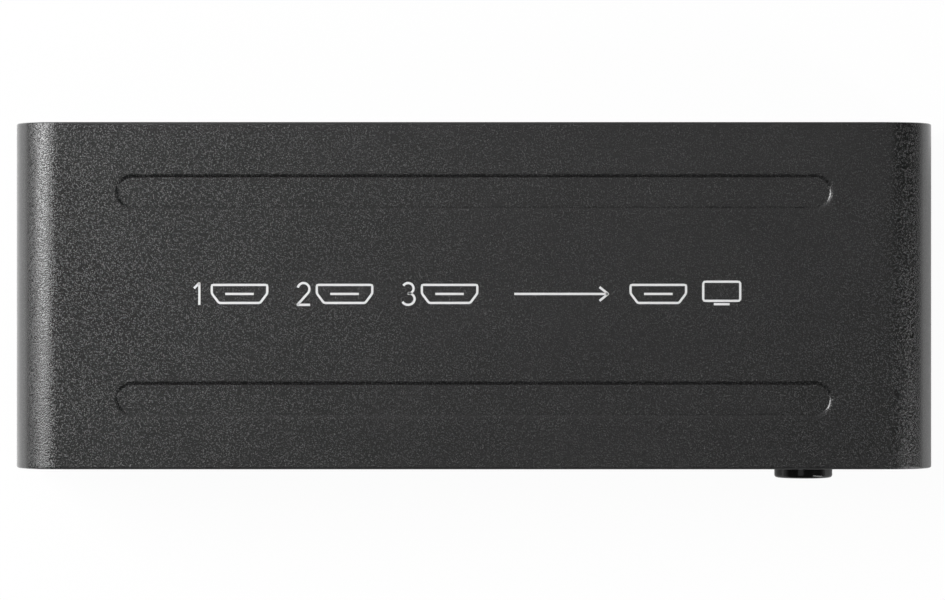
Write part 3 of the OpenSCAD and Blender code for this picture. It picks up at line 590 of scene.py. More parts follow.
def slot_loops(offset):
    """Loops from a slot's edge to its centre line. Each border point keeps its nearest point on the
    centre line and moves towards it. With t from 0 at the slot's edge to 1 at the foot of its wall, the
    depth is the full depth times t squared."""
    nearest = np.stack([np.clip(offset[:, 0], -slot_reach, slot_reach), np.zeros(len(offset))], 1)
    way = unit(offset - nearest)
    t = np.linspace(0, 1, wall_steps)
    floor_r = slot_width / 2 - slot_wall
    wall = [(slot_width / 2 - slot_wall * step, slot_depth * step**2) for step in t]
    floor = [(floor_r * share, slot_depth) for share in (0.9, 0.5, 0.0)]
    return [(nearest + way * radius, depth) for radius, depth in wall + floor]


def pressed_slot(side):
    y = cover_middle[1] + side * slot_pitch / 2
    rows = len(side_x) + np.array(block(top_x, 0.0, slot_end + block_room))
    cols = block(cover_y, y, slot_width / 2 + block_room)
    return Feature(rows, cols, np.array([0.0, y, cover_top]), X, Y, slot_loops, False)


slots = [pressed_slot(side) for side in (-1, 1)]
print("slot floors", round(slot_width - 2 * slot_wall, 2), "mm wide")

# %% [markdown]
# The four cover screws sit in countersunk holes in the two side walls. Each hole's wall runs from the
# skin down a cone of 45 degrees to the thread.

# %% Cover: screw holes and the finished sheet
screw_low, screw_high = box_mm("cover_screws")
head_r, thread_r = 2.35, 1.25
screw_z = (screw_low[2] + screw_high[2]) / 2
screw_y = [screw_low[1] + head_r, screw_high[1] - head_r]
screw_places = [(side, y) for side in (-1, 1) for y in screw_y]
cone = head_r - thread_r
sink_wall = [(0.14, 0.0), (0.06, 0.03), (0.0, 0.1), (0.05 - cone, cone), (0.05 - cone, cover_t)]


def screw_hole(side, y):
    rows = np.array(block(wall_z, screw_z, head_r + 0.6))
    rows = rows if side < 0 else len(section_x) - 1 - rows[::-1]
    centre = np.array([side * half_w, y, screw_z])
    cols = block(cover_y, y, head_r + 0.6)
    return Feature(rows, cols, centre, Y, Z, hole(circle(head_r), sink_wall), True)


cover_features = slots + [screw_hole(side, y) for side, y in screw_places]
cover_sheet = sheet(cover_skin(0.0), cover_skin(cover_t), cover_edge_r, cover_features)
make_piece("folded_cover", cover_sheet, "cover_coat", ["top_cover"], sharp_deg=25)

# %% [markdown]
# ## The tray
# The tray is the other half of the case: front panel, floor and rear panel in one sheet, folded up
# twice with a 2 mm radius. Its upper corners are round, to follow the cover's bends inside. The sheet's
# section runs from the front panel's top edge down, under the board and up the rear panel, and every
# row is as wide as the cover leaves room for at that height.

# %% Tray: section
tray_low, tray_high = box_mm("base_tray")
tray_t, fold_r, tray_edge_r, corner_r = 1.0, 2.0, 0.12, 5.6
tray_half, tray_floor = tray_high[0] - tray_edge_r, tray_low[2]
arch_r = corner_r - tray_edge_r
arch_z = tray_high[2] - corner_r
arch = np.linspace(0, np.pi / 2, 11)
panel_z = np.concatenate([np.linspace(tray_floor + fold_r, arch_z, 27)[:-1], arch_z + arch_r * np.sin(arch)])
fold = np.linspace(0, np.pi / 2, 9)[1:-1]
floor_y = np.linspace(tray_low[1] + fold_r, tray_high[1] - fold_r, 49)
fold_in, fold_z = fold_r * (1 - np.cos(fold)), tray_floor + fold_r * (1 - np.sin(fold))
front_y = np.concatenate([np.full(len(panel_z), tray_low[1]), tray_low[1] + fold_in])
rear_y = tray_low[1] + tray_high[1] - front_y[::-1]
side_rows = np.concatenate([panel_z[::-1], fold_z])
section_y = np.concatenate([front_y, floor_y, rear_y])
tray_z = np.concatenate([side_rows, np.full(len(floor_y), tray_floor), side_rows[::-1]])
from_floor = section_y - np.clip(section_y, floor_y[0], floor_y[-1])
normal_y = from_floor / fold_r
normal_down = np.clip(tray_z - tray_floor - fold_r, -fold_r, 0) / fold_r
tray_cols = np.linspace(-1, 1, 275)


def arched(half, radius, above):
    """Half the width of a plate with rounded upper corners, at a height above the corners' centres:
    half - radius plus the root of (radius squared - height squared)."""
    height = np.clip(above, 0, radius)
    return half - radius + np.sqrt(radius**2 - height**2)


def tray_skin(inside):
    """Each row of the section at its own half width, moved in by inside along the section's normal."""
    grid = np.zeros((len(tray_z), len(tray_cols), 3))
    grid[..., 0] = arched(tray_half, arch_r, tray_z - arch_z)[:, None] * tray_cols
    grid[..., 1] = (section_y - inside * normal_y)[:, None]
    grid[..., 2] = (tray_z - inside * normal_down)[:, None]
    return grid


print("tray grid", len(tray_z), "by", len(tray_cols), "lines")

# %% [markdown]
# The sockets' openings are not round: wide at the top, drawn in below, with rounded corners. Such an
# outline is a polygon whose corners are rounded, and moved outwards along its normals. Seen from its
# middle, every direction meets it once, so a table of distance against angle describes it, and the
# same hole routine serves both kinds.

# %% Socket outlines
socket_w, socket_h, socket_foot_w, socket_knee = 14.0, 4.55, 10.4, 2.4
shell_t, cutout_fit, socket_len = 0.3, 0.3, 11.5
right_corners = np.array([[socket_foot_w / 2, 0], [socket_w / 2, socket_knee], [socket_w / 2, socket_h]])
socket_corners = np.concatenate([right_corners, right_corners[::-1] * [-1, 1]])


def closed_outline(corners, radius, spacing):
    """A closed outline with rounded corners, resampled about one spacing apart from the middle of its
    last side, and its outward normals."""
    start = (corners[-1] + corners[0]) / 2
    line = rounded(np.concatenate([[start], corners, [start]]), [radius] * len(corners), 8)
    run = np.concatenate([[0], np.cumsum(np.linalg.norm(np.diff(line, axis=0), axis=1))])
    at = np.linspace(0, run[-1], 4 * round(run[-1] / spacing / 4), endpoint=False)
    points = np.stack([np.interp(at, run, line[:, k]) for k in (0, 1)], 1)
    along = unit(np.roll(points, -1, 0) - np.roll(points, 1, 0))
    return points, np.stack([along[:, 1], -along[:, 0]], 1)


def reach_of(points):
    """The distance from the origin to an outline, as a function of the angle."""
    angle = np.arctan2(points[:, 1], points[:, 0])
    distance = np.linalg.norm(points, axis=1)
    return lambda at: np.interp(at, angle, distance, period=2 * np.pi)


mouth_points, mouth_normals = closed_outline(socket_corners, 0.5, 0.3)
mouth_middle = np.array([0.0, socket_h / 2])
SOCKETS = ["input_1", "input_2", "input_3", "output"]
socket_x = {name: middle_mm(name + "_shell")[0] for name in SOCKETS}
board_top = box_mm("circuit_board")[1][2]
mouth_y = box_mm("output_shell")[1][1]
opening_z = board_top + shell_t
print("sockets at x", np.round(list(socket_x.values()), 2).tolist(), "mouth at y", round(mouth_y, 3))

# %% Tray: holes
LAMPS = ["power", "input_1", "input_2", "input_3"]
lamp_r, window_r, button_r, nose_r, shank_r = 1.5, 2.5, 4.45, 4.0, 1.8
tray_x = tray_cols * tray_half


def panel_hole(rear, x, z, reach, half_x, half_z):
    """A hole in the front or rear panel, about (x, z)."""
    rows = np.array(block(panel_z, z, half_z)) + len(tray_z) - len(panel_z)
    rows = rows if rear else len(tray_z) - 1 - rows[::-1]
    centre = np.array([x, tray_high[1] if rear else tray_low[1], z])
    return Feature(rows, block(tray_x, x, half_x), centre, X, Z, hole(reach, plain_wall(tray_t)), True)


def round_hole(node, radius, rear=False):
    x, _, z = middle_mm(node)
    return panel_hole(rear, x, z, circle(radius), radius + 0.7, radius + 0.7)


def floor_hole(x, y, radius):
    rows = np.array(block(floor_y, y, radius + 0.8)) + len(front_y)
    centre = np.array([x, y, tray_floor])
    shape = hole(circle(radius), plain_wall(tray_t))
    return Feature(rows, block(tray_x, x, radius + 0.8), centre, X, Y, shape, True)


cutout_reach = reach_of(mouth_points + mouth_normals * (shell_t + cutout_fit) - mouth_middle)
cutout_z = opening_z + mouth_middle[1]
jack_x, jack_z = middle_mm("power_jack_body")[0], board_top + 6.5
standoff_low, standoff_high = (box + sign * 2.5 for box, sign in zip(box_mm("board_standoffs"), (1, -1)))
shanks = [(x, y) for x in (standoff_low[0], standoff_high[0]) for y in (standoff_low[1], standoff_high[1])]
tray_features = [round_hole("lamp_" + lamp, lamp_r + 0.1) for lamp in LAMPS]
tray_features += [round_hole("sensor_window", window_r + 0.1), round_hole("select_button", button_r + 0.2)]
tray_features += [panel_hole(True, x, cutout_z, cutout_reach, 8.4, 3.7) for x in socket_x.values()]
tray_features += [panel_hole(True, jack_x, jack_z, circle(nose_r + cutout_fit), nose_r + 1, nose_r + 1)]
tray_features += [floor_hole(x, y, shank_r + 0.03) for x, y in shanks]
tray_sheet = sheet(tray_skin(0.0), tray_skin(tray_t), tray_edge_r, tray_features)
print(len(tray_features), "holes in the tray")

# %% [markdown]
# Four ears stand on the floor's sides and hold the thread of the cover screws. An ear is the same kind
# of plate on a small scale.

# %% Tray: ears and the finished piece
ear_half, ear_h, ear_corner_r = 6.0, 14.0, 2.0
ear_arch_r = ear_corner_r - tray_edge_r
ear_arch_z = tray_floor + ear_h - ear_corner_r
ear_top = ear_arch_z + ear_arch_r * np.sin(np.linspace(0, np.pi / 2, 9))
ear_rows = np.concatenate([np.linspace(tray_floor + tray_t - 0.1, ear_arch_z, 24)[:-1], ear_top])
ear_cols = np.linspace(-1, 1, 25)


def ear(side, y):
    """A plate with rounded upper corners beside the cover's wall, with the screw's thread through it."""
    half = arched(ear_half - tray_edge_r, ear_arch_r, ear_rows - ear_arch_z)
    grid = np.zeros((len(ear_rows), len(ear_cols), 3))
    grid[..., 0] = side * tray_high[0]
    grid[..., 1] = y + half[:, None] * ear_cols
    grid[..., 2] = ear_rows[:, None]
    room = thread_r + 0.9
    rows, cols = block(ear_rows, screw_z, room), block(ear_cols * ear_half, 0.0, room)
    centre = np.array([side * tray_high[0], y, screw_z])
    thread = Feature(rows, cols, centre, Y, Z, hole(circle(thread_r + 0.02), plain_wall(tray_t)), True)
    return sheet(grid, grid - side * tray_t * X, tray_edge_r, [thread])


ears = [part for side, y in screw_places for part in ear(side, y)]
make_piece("folded_tray", tray_sheet + ears, "tray_coat", ["base_tray"])

# %% [markdown]
# ## The select button
# The button is turned about its axis: a polished face with a rounded rim, a plain side, and behind the
# panel a flange that keeps it in and a hub that grips the switch's plunger. It rides on the moving body.

# %% Button
button_low, button_high = box_mm("select_button")
NO_Y = np.array([1, 0, 1])
front, hub_back = button_low[1], button_high[1]
flange_r, flange_front, flange_back = button_r + 0.9, hub_back - 2.4, hub_back - 1.6
hub_r, plunger_r, grip = 2.93, 1.73, 2.2
face_r, face_crown, rim_r = button_r - 0.6, 0.08, 0.42
face = [[r, front + face_crown * (r / face_r) ** 2] for r in np.linspace(0, face_r, 9)]
behind = [[flange_r, flange_front], [flange_r, flange_back], [hub_r, flange_back], [hub_r, hub_back]]
bore = [[plunger_r, hub_back], [plunger_r, hub_back - grip], [0, hub_back - grip]]
rim = [face[-1], [button_r, front + 2 * face_crown], [button_r, flange_front]]
button_line = rounded(rim + behind + bore, [rim_r] + [0.1] * 6 + [0.0])
button_shape = turned(np.concatenate([face, button_line[1:]]), middle_mm("select_button") * NO_Y, sides=128)
make_piece("button_cap", [button_shape], "button_black", ["select_button"], body="button", sharp_deg=50)

# %% [markdown]
# ## Feet, lamps and window
# All of these are turned. A foot has a rounded lower edge, a shallow hollow underneath and a slight
# taper. A lamp is a domed lens with a collar behind the panel. The sensor's window is a flat lens.

# %% Feet
FEET = ["front_left", "front_right", "rear_left", "rear_right"]
hollow_h, hollow_in, lip_in, taper = 0.25, 2.2, 1.6, 0.3
for corner in FEET:
    low, high = box_mm("foot_" + corner)
    foot_r, foot_h = (high[0] - low[0]) / 2, high[2] - low[2]
    hollow = [[0, hollow_h], [foot_r - hollow_in, hollow_h], [foot_r - lip_in, 0.0]]
    outside = [[foot_r, 0.0], [foot_r - taper, foot_h], [0, foot_h]]
    foot_line = rounded(hollow + outside, [0.4, 0.4, 0.55, 0.1])
    foot_shape = turned(foot_line, [(low[0] + high[0]) / 2, (low[1] + high[1]) / 2, low[2]], "z", 72)
    make_piece("rubber_foot_" + corner, [foot_shape], "foot_rubber", ["foot_" + corner])

# %% Lamps and window
collar_w, collar_t = 0.4, 1.0
dome = np.radians(np.linspace(0, 90, 13))
for lamp in LAMPS:
    low, high = box_mm("lamp_" + lamp)
    lens = np.stack([lamp_r * np.sin(dome), low[1] + lamp_r * (1 - np.cos(dome))], 1)
    collar_r, collar_y = lamp_r + collar_w, high[1] - collar_t
    collar = [lens[-1], [lamp_r, collar_y], [collar_r, collar_y], [collar_r, high[1]], [0, high[1]]]
    lamp_line = np.concatenate([lens, rounded(collar, [0.05, 0.1, 0.1])[1:]])
    lamp_shape = turned(lamp_line, middle_mm("lamp_" + lamp) * NO_Y, sides=64)
    make_piece("lamp_lens_" + lamp, [lamp_shape], "lamp_resin", ["lamp_" + lamp])

low, high = box_mm("sensor_window")
lip_r, lip_y = (high[0] - low[0]) / 2, low[1] + tray_t
window_front = [[0, low[1]], [window_r, low[1]], [window_r, lip_y]]
window_back = [[lip_r, lip_y], [lip_r, high[1]], [0, high[1]]]
window_line = rounded(window_front + window_back, [0.2, 0.0, 0.1, 0.1])
window_shape = turned(window_line, middle_mm("sensor_window") * NO_Y)
make_piece("sensor_lens", [window_shape], "window_tint", ["sensor_window"])

# %% [markdown]
# ## Cover screws
# A countersunk head is flush with the wall and has a cross recess. Its top is a square grid whose lines
# crowd at the recess's edges: two bars are pressed into it, and the deeper of the two counts. From the
# square's border, loops lead to the round head, down the cone and along the thread to its tip.

# %% Screws
cross_half, cross_w, cross_depth, cross_edge, square_half = 1.41, 0.55, 0.8, 0.08, 1.55
screw_len = screw_high[0] - half_w + 4.0
stops = [square_half, cross_half + 0.02, cross_half - 0.1, cross_w / 2 + 0.05, cross_w / 2 - 0.05]
gaps = [0.06, 0.03, 0.12, 0.02]
recess_lines = crowded([-stop for stop in stops] + stops[::-1], gaps + [0.08] + gaps[::-1])


def bar_drop(along, across):
    """One bar of the cross: full inside, and rising to nothing over a short edge at its sides and ends."""
    ends = np.clip((cross_half - np.abs(along)) / cross_edge, 0, 1)
    return ends * np.clip((cross_w / 2 - np.abs(across)) / cross_edge + 0.5, 0, 1)


def screw(side, y):
    """The recessed square, and loops from its border over the head, the cone and the thread."""
    u, v = np.meshgrid(recess_lines, recess_lines, indexing="ij")
    shallow = 1 - 0.55 * np.clip(np.hypot(u, v) / cross_half, 0, 1) ** 3
    drop = cross_depth * shallow * np.maximum(bar_drop(u, v), bar_drop(v, u))
    top = np.array([side * (half_w - 0.02), y, screw_z])
    outward = side * X
    square = top + u[..., None] * Y + v[..., None] * Z - drop[..., None] * outward
    last = len(recess_lines) - 1
    ring = square[border(0, last, 0, last)]
    way = unit((ring - top) * (Y + Z))
    head = [(head_r - 0.12, 0.0), (head_r - 0.04, 0.02), (head_r, 0.1), (thread_r, cone)]
    thread = [(thread_r, screw_len - 0.3), (thread_r - 0.3, screw_len), (0.0, screw_len)]
    loops = [top + way * radius - outward * depth for radius, depth in head + thread]
    return [patch(square), patch([ring] + loops, closed=True)]


screws = [part for side, y in screw_places for part in screw(side, y)]
make_piece("cover_screw_set", screws, "screw_black", ["cover_screws"])

# %% [markdown]
# ## Video sockets
# A socket is a folded shell, a plastic block with a tongue, and two rows of gold contacts along the
# tongue. The shell is the mouth's outline carried inwards, as a skin outside and one inside. Four
# spring fingers are cut in it: a window is left out of both skins, and a bowed strip hangs in it.

# %% Strips
STRIP_TURN = np.radians([20, 70, 110, 160, 200, 250, 290, 340])


def strip(path, across, wide, thick):
    """A flat strip along a path: at each point a small oblong with rounded corners, across and square to
    the path, and both ends closed."""
    path = np.asarray(path, float)
    up = unit(np.cross(unit(np.gradient(path, axis=0)), across))
    a = np.clip(np.cos(STRIP_TURN) * 1.2, -1, 1) * wide / 2
    b = np.clip(np.sin(STRIP_TURN) * 1.2, -1, 1) * thick / 2
    return capped(path[:, None] + a[:, None] * across + b[:, None] * up[:, None])


def placed(patches, origin):
    return [(points + origin, cells) for points, cells in patches]


mouths = {name: np.array([x, mouth_y, opening_z]) for name, x in socket_x.items()}

# %% Shells
finger_tip, finger_root, finger_w, finger_gap, finger_bow, finger_sweep = 2.8, 6.8, 1.6, 0.3, 0.35, 290
fingers = [(-3.4, socket_h), (3.4, socket_h), (-2.6, 0.0), (2.6, 0.0)]
shell_edge_r = 0.1
window_front, window_back = finger_tip - finger_gap, finger_root
shell_stops = [shell_edge_r, window_front, window_back, socket_len - shell_edge_r]
shell_depth = crowded(shell_stops, [0.8, 0.8, 1.2])
window_rows = tuple(int(np.argmin(np.abs(shell_depth - depth))) for depth in (window_front, window_back))


def shell_skin(grow):
    """The mouth's outline, moved out by grow, at every depth."""
    outline = mouth_points + mouth_normals * grow
    grid = np.zeros((len(shell_depth), len(outline), 3))
    grid[..., 0], grid[..., 2] = outline.T[:, None]
    grid[..., 1] = -shell_depth[:, None]
    return grid


def finger(x, level):
    """A strip from its root towards the mouth: along it, the bow into the mouth is (1 - cos) / 2 of an
    angle that sweeps past half a turn, so that the tip turns back."""
    t = np.linspace(0, 1, 15)
    bow = finger_bow * (1 - np.cos(np.radians(finger_sweep) * t)) / 2 - shell_t / 2
    depth = finger_root + 0.05 - (finger_root - finger_tip) * t
    path = np.stack([np.full(15, x), -depth, np.abs(level - bow)], 1)
    return strip(path, X, finger_w, shell_t * 0.8)


def shell_patches():
    outer, inner = shell_skin(shell_t), shell_skin(0.0)
    keep = np.ones((len(shell_depth) - 1, len(mouth_points)), bool)
    patches = [edge_loops(outer[end], inner[end], way, shell_edge_r) for end, way in ((0, Y), (-1, -Y))]
    for x, level in fingers:
        across, up = np.abs(mouth_points - [x, level]).T
        cols = np.flatnonzero((up < 0.02) & (across < finger_w / 2 + finger_gap))[[0, -1]]
        keep[slice(*window_rows), slice(*cols)] = False
        ring = border(*window_rows, *cols)
        patches += [patch([outer[ring], inner[ring]], closed=True), finger(x, level)]
    return patches + [patch(outer, True, keep), patch(inner, True, keep)]


leg_depths, leg_w = (3.4, 8.6), 1.0
leg_z = np.linspace(socket_h * 0.6, box_mm("output_shell")[0][2] - opening_z, 6)
leg_x = (socket_w + shell_t) / 2
leg_feet = [(side * leg_x, -depth) for side in (-1, 1) for depth in leg_depths]
legs = [strip([[x, y, z] for z in leg_z], Y, leg_w, shell_t * 0.9) for x, y in leg_feet]
one_shell = shell_patches() + legs
for name, mouth in mouths.items():
    make_piece(name + "_socket_shell", placed(one_shell, mouth), "plated_steel", [name + "_shell"])

# %% Tongues
tongue_w, tongue_t, tongue_tip, tongue_root, tip_r = 10.8, 1.4, 2.2, 7.6, 0.25
tongue_z = socket_h / 2 + 0.15
SQUARE = np.array([[1, -1], [1, 1], [-1, 1], [-1, -1]]) / 2
tongue_points, tongue_normals = closed_outline(SQUARE * [tongue_w, tongue_t], 0.2, 0.25)


def lofted(outline, normals, stations, lift):
    """An outline carried along Y and drawn in by an inset at each (depth, inset) station, ends closed."""
    depth, inset = np.array(stations).T
    grid = np.zeros((len(depth), len(outline), 3))
    grid[..., [0, 2]] = outline - normals * inset[:, None, None] + [0, lift]
    grid[..., 1] = -depth[:, None]
    return capped(grid)


tip_out, tip_down = edge_arc(tip_r)
tip = [(tongue_tip + tip_r - out, down) for out, down in zip(tip_out[::-1], tip_down[::-1])]
tongue = lofted(tongue_points, tongue_normals, tip + [(tongue_root + 0.4, 0.0)], tongue_z)
block_stations = [(tongue_root, 0.15), (tongue_root + 0.12, 0.03), (socket_len - 0.02, 0.03)]
tongue_block = lofted(mouth_points, mouth_normals, block_stations, 0.0)
for name, mouth in mouths.items():
    tongue_shape = placed([tongue, tongue_block], mouth)
    make_piece(name + "_socket_tongue", tongue_shape, "black_plastic", [name + "_insulator"])

# %% Contacts
contact_pitch, contact_w, contact_t, contact_start = 1.0, 0.36, 0.14, 0.45
contact_back, contact_foot = socket_len + 0.22, 1.18


def contact(x, upper):
    """A contact along the tongue's face, through the block, then down behind it and out to the board."""
    level = tongue_z + (tongue_t / 2 + 0.01) * (1 if upper else -1)
    foot = contact_t / 2 + 0.01 - shell_t
    along = [[-tongue_tip - contact_start, level], [-contact_back, level]]
    down = [[-contact_back, foot], [-contact_back - contact_foot, foot]]
    line = rounded(along + down, [0.15, 0.15], 3)
    return strip(np.insert(line, 0, x, axis=1), X, contact_w, contact_t)


rows_of_contacts = [((np.arange(count) - (count - 1) / 2) * contact_pitch, count == 10) for count in (10, 9)]
contacts = [contact(x, upper) for row, upper in rows_of_contacts for x in row]
for name, mouth in mouths.items():
    make_piece(name + "_socket_contacts", placed(contacts, mouth), "contact_gold", [name + "_contacts"])

# %% [markdown]
# ## Power jack
# The jack is one closed surface of loops about its axis: from the bottom of the bore out to its mouth,
# round the rim, back along the nose, out to the body's square-footed outline and round its rear end.
# The pin stands in the bore.

# %% Jack and pin
jack_low, jack_high = box_mm("power_jack_body")
bore_r, bore_len, nose_len, jack_edge = 3.15, 9.5, 1.5, 0.12
jack_half, jack_len = (jack_high[0] - jack_low[0]) / 2, jack_high[1] - jack_low[1]
jack_origin = np.array([jack_x, jack_high[1], jack_z])
turn = np.linspace(0, 2 * np.pi, 144, endpoint=False)
way = np.stack([np.cos(turn), np.zeros(len(turn)), np.sin(turn)], 1)
to_side = jack_half / np.maximum(np.abs(np.cos(turn)), 1e-6)
to_foot = (jack_z - jack_low[2]) / np.maximum(-np.sin(turn), 1e-6)
body_reach = np.where(np.sin(turn) >= 0, jack_half, np.minimum(to_side, to_foot))
bore_line = [[0, -bore_len], [bore_r, -bore_len], [bore_r, 0], [nose_r, 0], [nose_r, -nose_len]]
jack_loops = [jack_origin + way * r + Y * y for r, y in rounded(bore_line, [0.2, 0.3, 0.2])]
body_front = [(jack_edge, -nose_len), (0.0, -nose_len - jack_edge)]
body_rear = [(0.0, jack_edge - jack_len), (jack_edge, -jack_len)]
body_ends = body_front + body_rear
jack_loops += [jack_origin + way * (body_reach - inset)[:, None] + Y * y for inset, y in body_ends]
make_piece("jack_body", [capped(jack_loops)], "black_plastic", ["power_jack_body"])

pin_r, pin_tip, root_r = 1.05, 1.2, 1.3
pin_back = jack_len + 0.4
pin_front = [[0, -pin_tip], [pin_r, -pin_tip], [pin_r, -bore_len]]
pin_root = [[root_r, -bore_len], [root_r, -pin_back], [0, -pin_back]]
pin_shape = turned(rounded(pin_front + pin_root, [0.6, 0.0, 0.0, 0.1]), jack_origin, sides=64)
tab_z = np.linspace(pin_r, box_mm("power_jack_pin")[0][2] - jack_z, 5)
pin_tab = strip([[0, 0.2 - pin_back, z] for z in tab_z], X, 2.0, 0.38)
make_piece("jack_pin", [pin_shape] + placed([pin_tab], jack_origin), "plated_steel", ["power_jack_pin"])

# %% [markdown]
# ## The click dome
# Behind the button a thin dished disc snaps flat when it is pressed. It is turned like the lamps, in its
# dished shape.

# %% Dome
dome_low, dome_high = box_mm("switch_dome")
dome_r, dome_t, dome_h = (dome_high[0] - dome_low[0]) / 2, 0.1, dome_high[1] - dome_low[1]
dish = np.array([[r, (dome_h - dome_t) * (r / dome_r) ** 2] for r in np.linspace(0, dome_r, 13)])
dome_line = np.concatenate([dish + [0, dome_low[1]], dish[::-1] + [0, dome_low[1] + dome_t]])
dome_shape = turned(dome_line, middle_mm("switch_dome") * NO_Y, sides=48)
click_dome = make_piece("click_dome", [dome_shape], "plated_steel", ["switch_dome"])
travel = frame["joints"][0]["range_m"][1] / MM
1 - travel / dome_h
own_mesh(click_dome)
print("dome is", round(dome_h, 3), "mm high and is pressed by", round(travel, 3))

# %% [markdown]
# ## Plain print
# White marks on such a box tell which socket is which. Here they are generic: plain numerals, a socket's
# outline, an arrow, a screen. Each mark is a pen stroke: a thin flat bar carried along a line, standing
# a few hundredths of a millimetre proud of the coat.

# %% Pen strokes
pen_w, fine_pen_w, ink_low, ink_high = 0.34, 0.26, -0.06, print_height * 0.9


def stroke(points, width=pen_w, closed=False):
    """A pen line in the plane: at each point a flat bar's section, half the width to either side."""
    points = np.asarray(points, float)
    ahead = np.roll(points, -1, 0) - np.roll(points, 1, 0) if closed else np.gradient(points, axis=0)
    side = unit(np.stack([-ahead[:, 1], ahead[:, 0]], 1)) * width / 2
    loops = np.zeros((len(points), 4, 3))
    loops[:, :2, :2], loops[:, 2:, :2] = (points + side)[:, None], (points - side)[:, None]
    loops[..., 2] = [ink_low, ink_high, ink_high, ink_low]
    return patch(np.concatenate([loops, loops[:1]]), closed=True) if closed else capped(loops)


def arc(centre, radius, start, stop):
    """Points on part of an ellipse, from one angle to another."""
    angle = np.radians(np.linspace(start, stop, 17))
    return np.asarray(centre) + np.stack([radius[0] * np.cos(angle), radius[1] * np.sin(angle)], 1)


def on_plane(patches, origin, right, up, out):
    """Marks drawn in a plane, put on a face by its right, up and outward directions."""
    axes = np.stack([right, up, out])
    return [(points @ axes + origin, cells) for points, cells in patches]


# %% Marks
two_bowl = arc([0.3, 0.72], [0.27, 0.28], 165, -35)
two_foot = rounded([two_bowl[-1], [0.02, 0.0], [0.6, 0.0]], [0.03])
three_bowls = [arc([0.28, 0.755], [0.25, 0.245], 150, -90), arc([0.28, 0.27], [0.3, 0.27], 90, -150)]
NUMERALS = {
    1: rounded([[0.1, 0.76], [0.34, 1.0], [0.34, 0.0]], [0.03]),
    2: np.concatenate([two_bowl, two_foot[1:]]),
    3: np.concatenate(three_bowls),
}


def numeral(digit, height, at, width=pen_w):
    return stroke(NUMERALS[digit] * height + at, width)


def socket_sign(at, scale):
    """A socket's outline with its tongue as a short bar."""
    outline, _ = closed_outline((socket_corners - mouth_middle) * scale, 0.35 * scale, 0.25)
    tongue_line = np.linspace([-3.6, 0], [3.6, 0], 4) * scale
    return [stroke(outline + at, closed=True), stroke(tongue_line + at)]


def arrow(start, tip, head, width=pen_w):
    tip = np.asarray(tip, float)
    barbs = [tip + [-head, head * 0.8], tip, tip + [-head, -head * 0.8]]
    return [stroke(np.linspace(start, tip, 5), width), stroke(rounded(barbs, [0.08]), width)]


def screen_sign(at, wide, tall):
    """A screen's frame on a short foot."""
    outline, _ = closed_outline(SQUARE * [wide, tall], 0.3, 0.3)
    foot = np.linspace([-1.2, -tall / 2 - 0.5], [1.2, -tall / 2 - 0.5], 3)
    return [stroke(outline + at, closed=True), stroke(foot + at)]


# %% Print on the cover
print_high, sign_scale, first_left, group_pitch = 3.3, 0.6, -41.6, 15.9
top_marks = []
for place, digit in enumerate(NUMERALS):
    left = first_left + place * group_pitch
    top_marks += [numeral(digit, print_high, [left, -print_high / 2])]
    top_marks += socket_sign([left + 7.2, 0], sign_scale)
top_marks += arrow([7.2, 0], [21.4, 0], 1.3)
top_marks += socket_sign([29.0, 0], sign_scale) + screen_sign([38.6, 0.4], 5.6, 2.9)
print_place = np.array([-1.1, cover_middle[1] + 0.27, cover_top])
make_piece("cover_print", on_plane(top_marks, print_place, X, Y, Z), "cover_coat", finish="white_ink")

# %% Print on the panels
small, mark_z, half_numeral = 1.9, 14.8, 0.55
front_marks, rear_marks = [], []
for digit in NUMERALS:
    lamp_x = middle_mm(f"lamp_input_{digit}")[0]
    front_marks += [numeral(digit, small, [lamp_x - half_numeral, mark_z], fine_pen_w)]
    rear_x = -socket_x[f"input_{digit}"]
    rear_marks += [numeral(digit, small, [rear_x - half_numeral, mark_z], fine_pen_w)]
power_at = np.array([middle_mm("lamp_power")[0], mark_z + 0.8])
power_line = np.linspace(power_at + [0, 0.25], power_at + [0, 1.05], 3)
power_sign = [arc(power_at, [0.85, 0.85], 125, 415), power_line]
front_marks += [stroke(line, fine_pen_w) for line in power_sign]
out_at = np.array([-socket_x["output"], mark_z + 0.95])
rear_marks += arrow(out_at - [2, 0], out_at + [2, 0], 0.9, fine_pen_w)
front_face, rear_face = np.array([0, tray_low[1], 0]), np.array([0, tray_high[1], 0])
make_piece("front_print", on_plane(front_marks, front_face, X, Z, -Y), "tray_coat", finish="white_ink")
make_piece("rear_print", on_plane(rear_marks, rear_face, -X, Z, Y), "tray_coat", finish="white_ink")

# %% [markdown]
# ## What stays as CAD
# The board and everything on it is closed in, and so is the switch. Their CAD meshes are right as they
# are, and each takes the finish of its material slot.

# %% Finishes for the inner parts
inner_parts = [part for part in frame["record"]["subparts"] if not frame["nodes"][part["node"]].hide_render]
for part in inner_parts:
    surface = frame["nodes"][part["node"]].data
    surface.materials.clear()
    surface.materials.append(finishes[part["material_slot"]])
print(len(inner_parts), "inner nodes dressed")

# %% [markdown]
# ## Floor and light
# The photograph is a catalogue picture: a white ground with hardly any shadow. The floor is plain and
# pale, and for the camera it gives most of its white by itself, so that the lamps need not be strong.
# A soft box on the left, long towards the rear, draws the bright band along the cover's bend. A wide
# panel hangs over the rear and nothing over the front, so walls that lean to the front stay dark. A tall
# slim box at the right puts a faint sparkle on the other bend. The sky is brightest at the horizon on
# the left and right, where the cover's side walls mirror it.

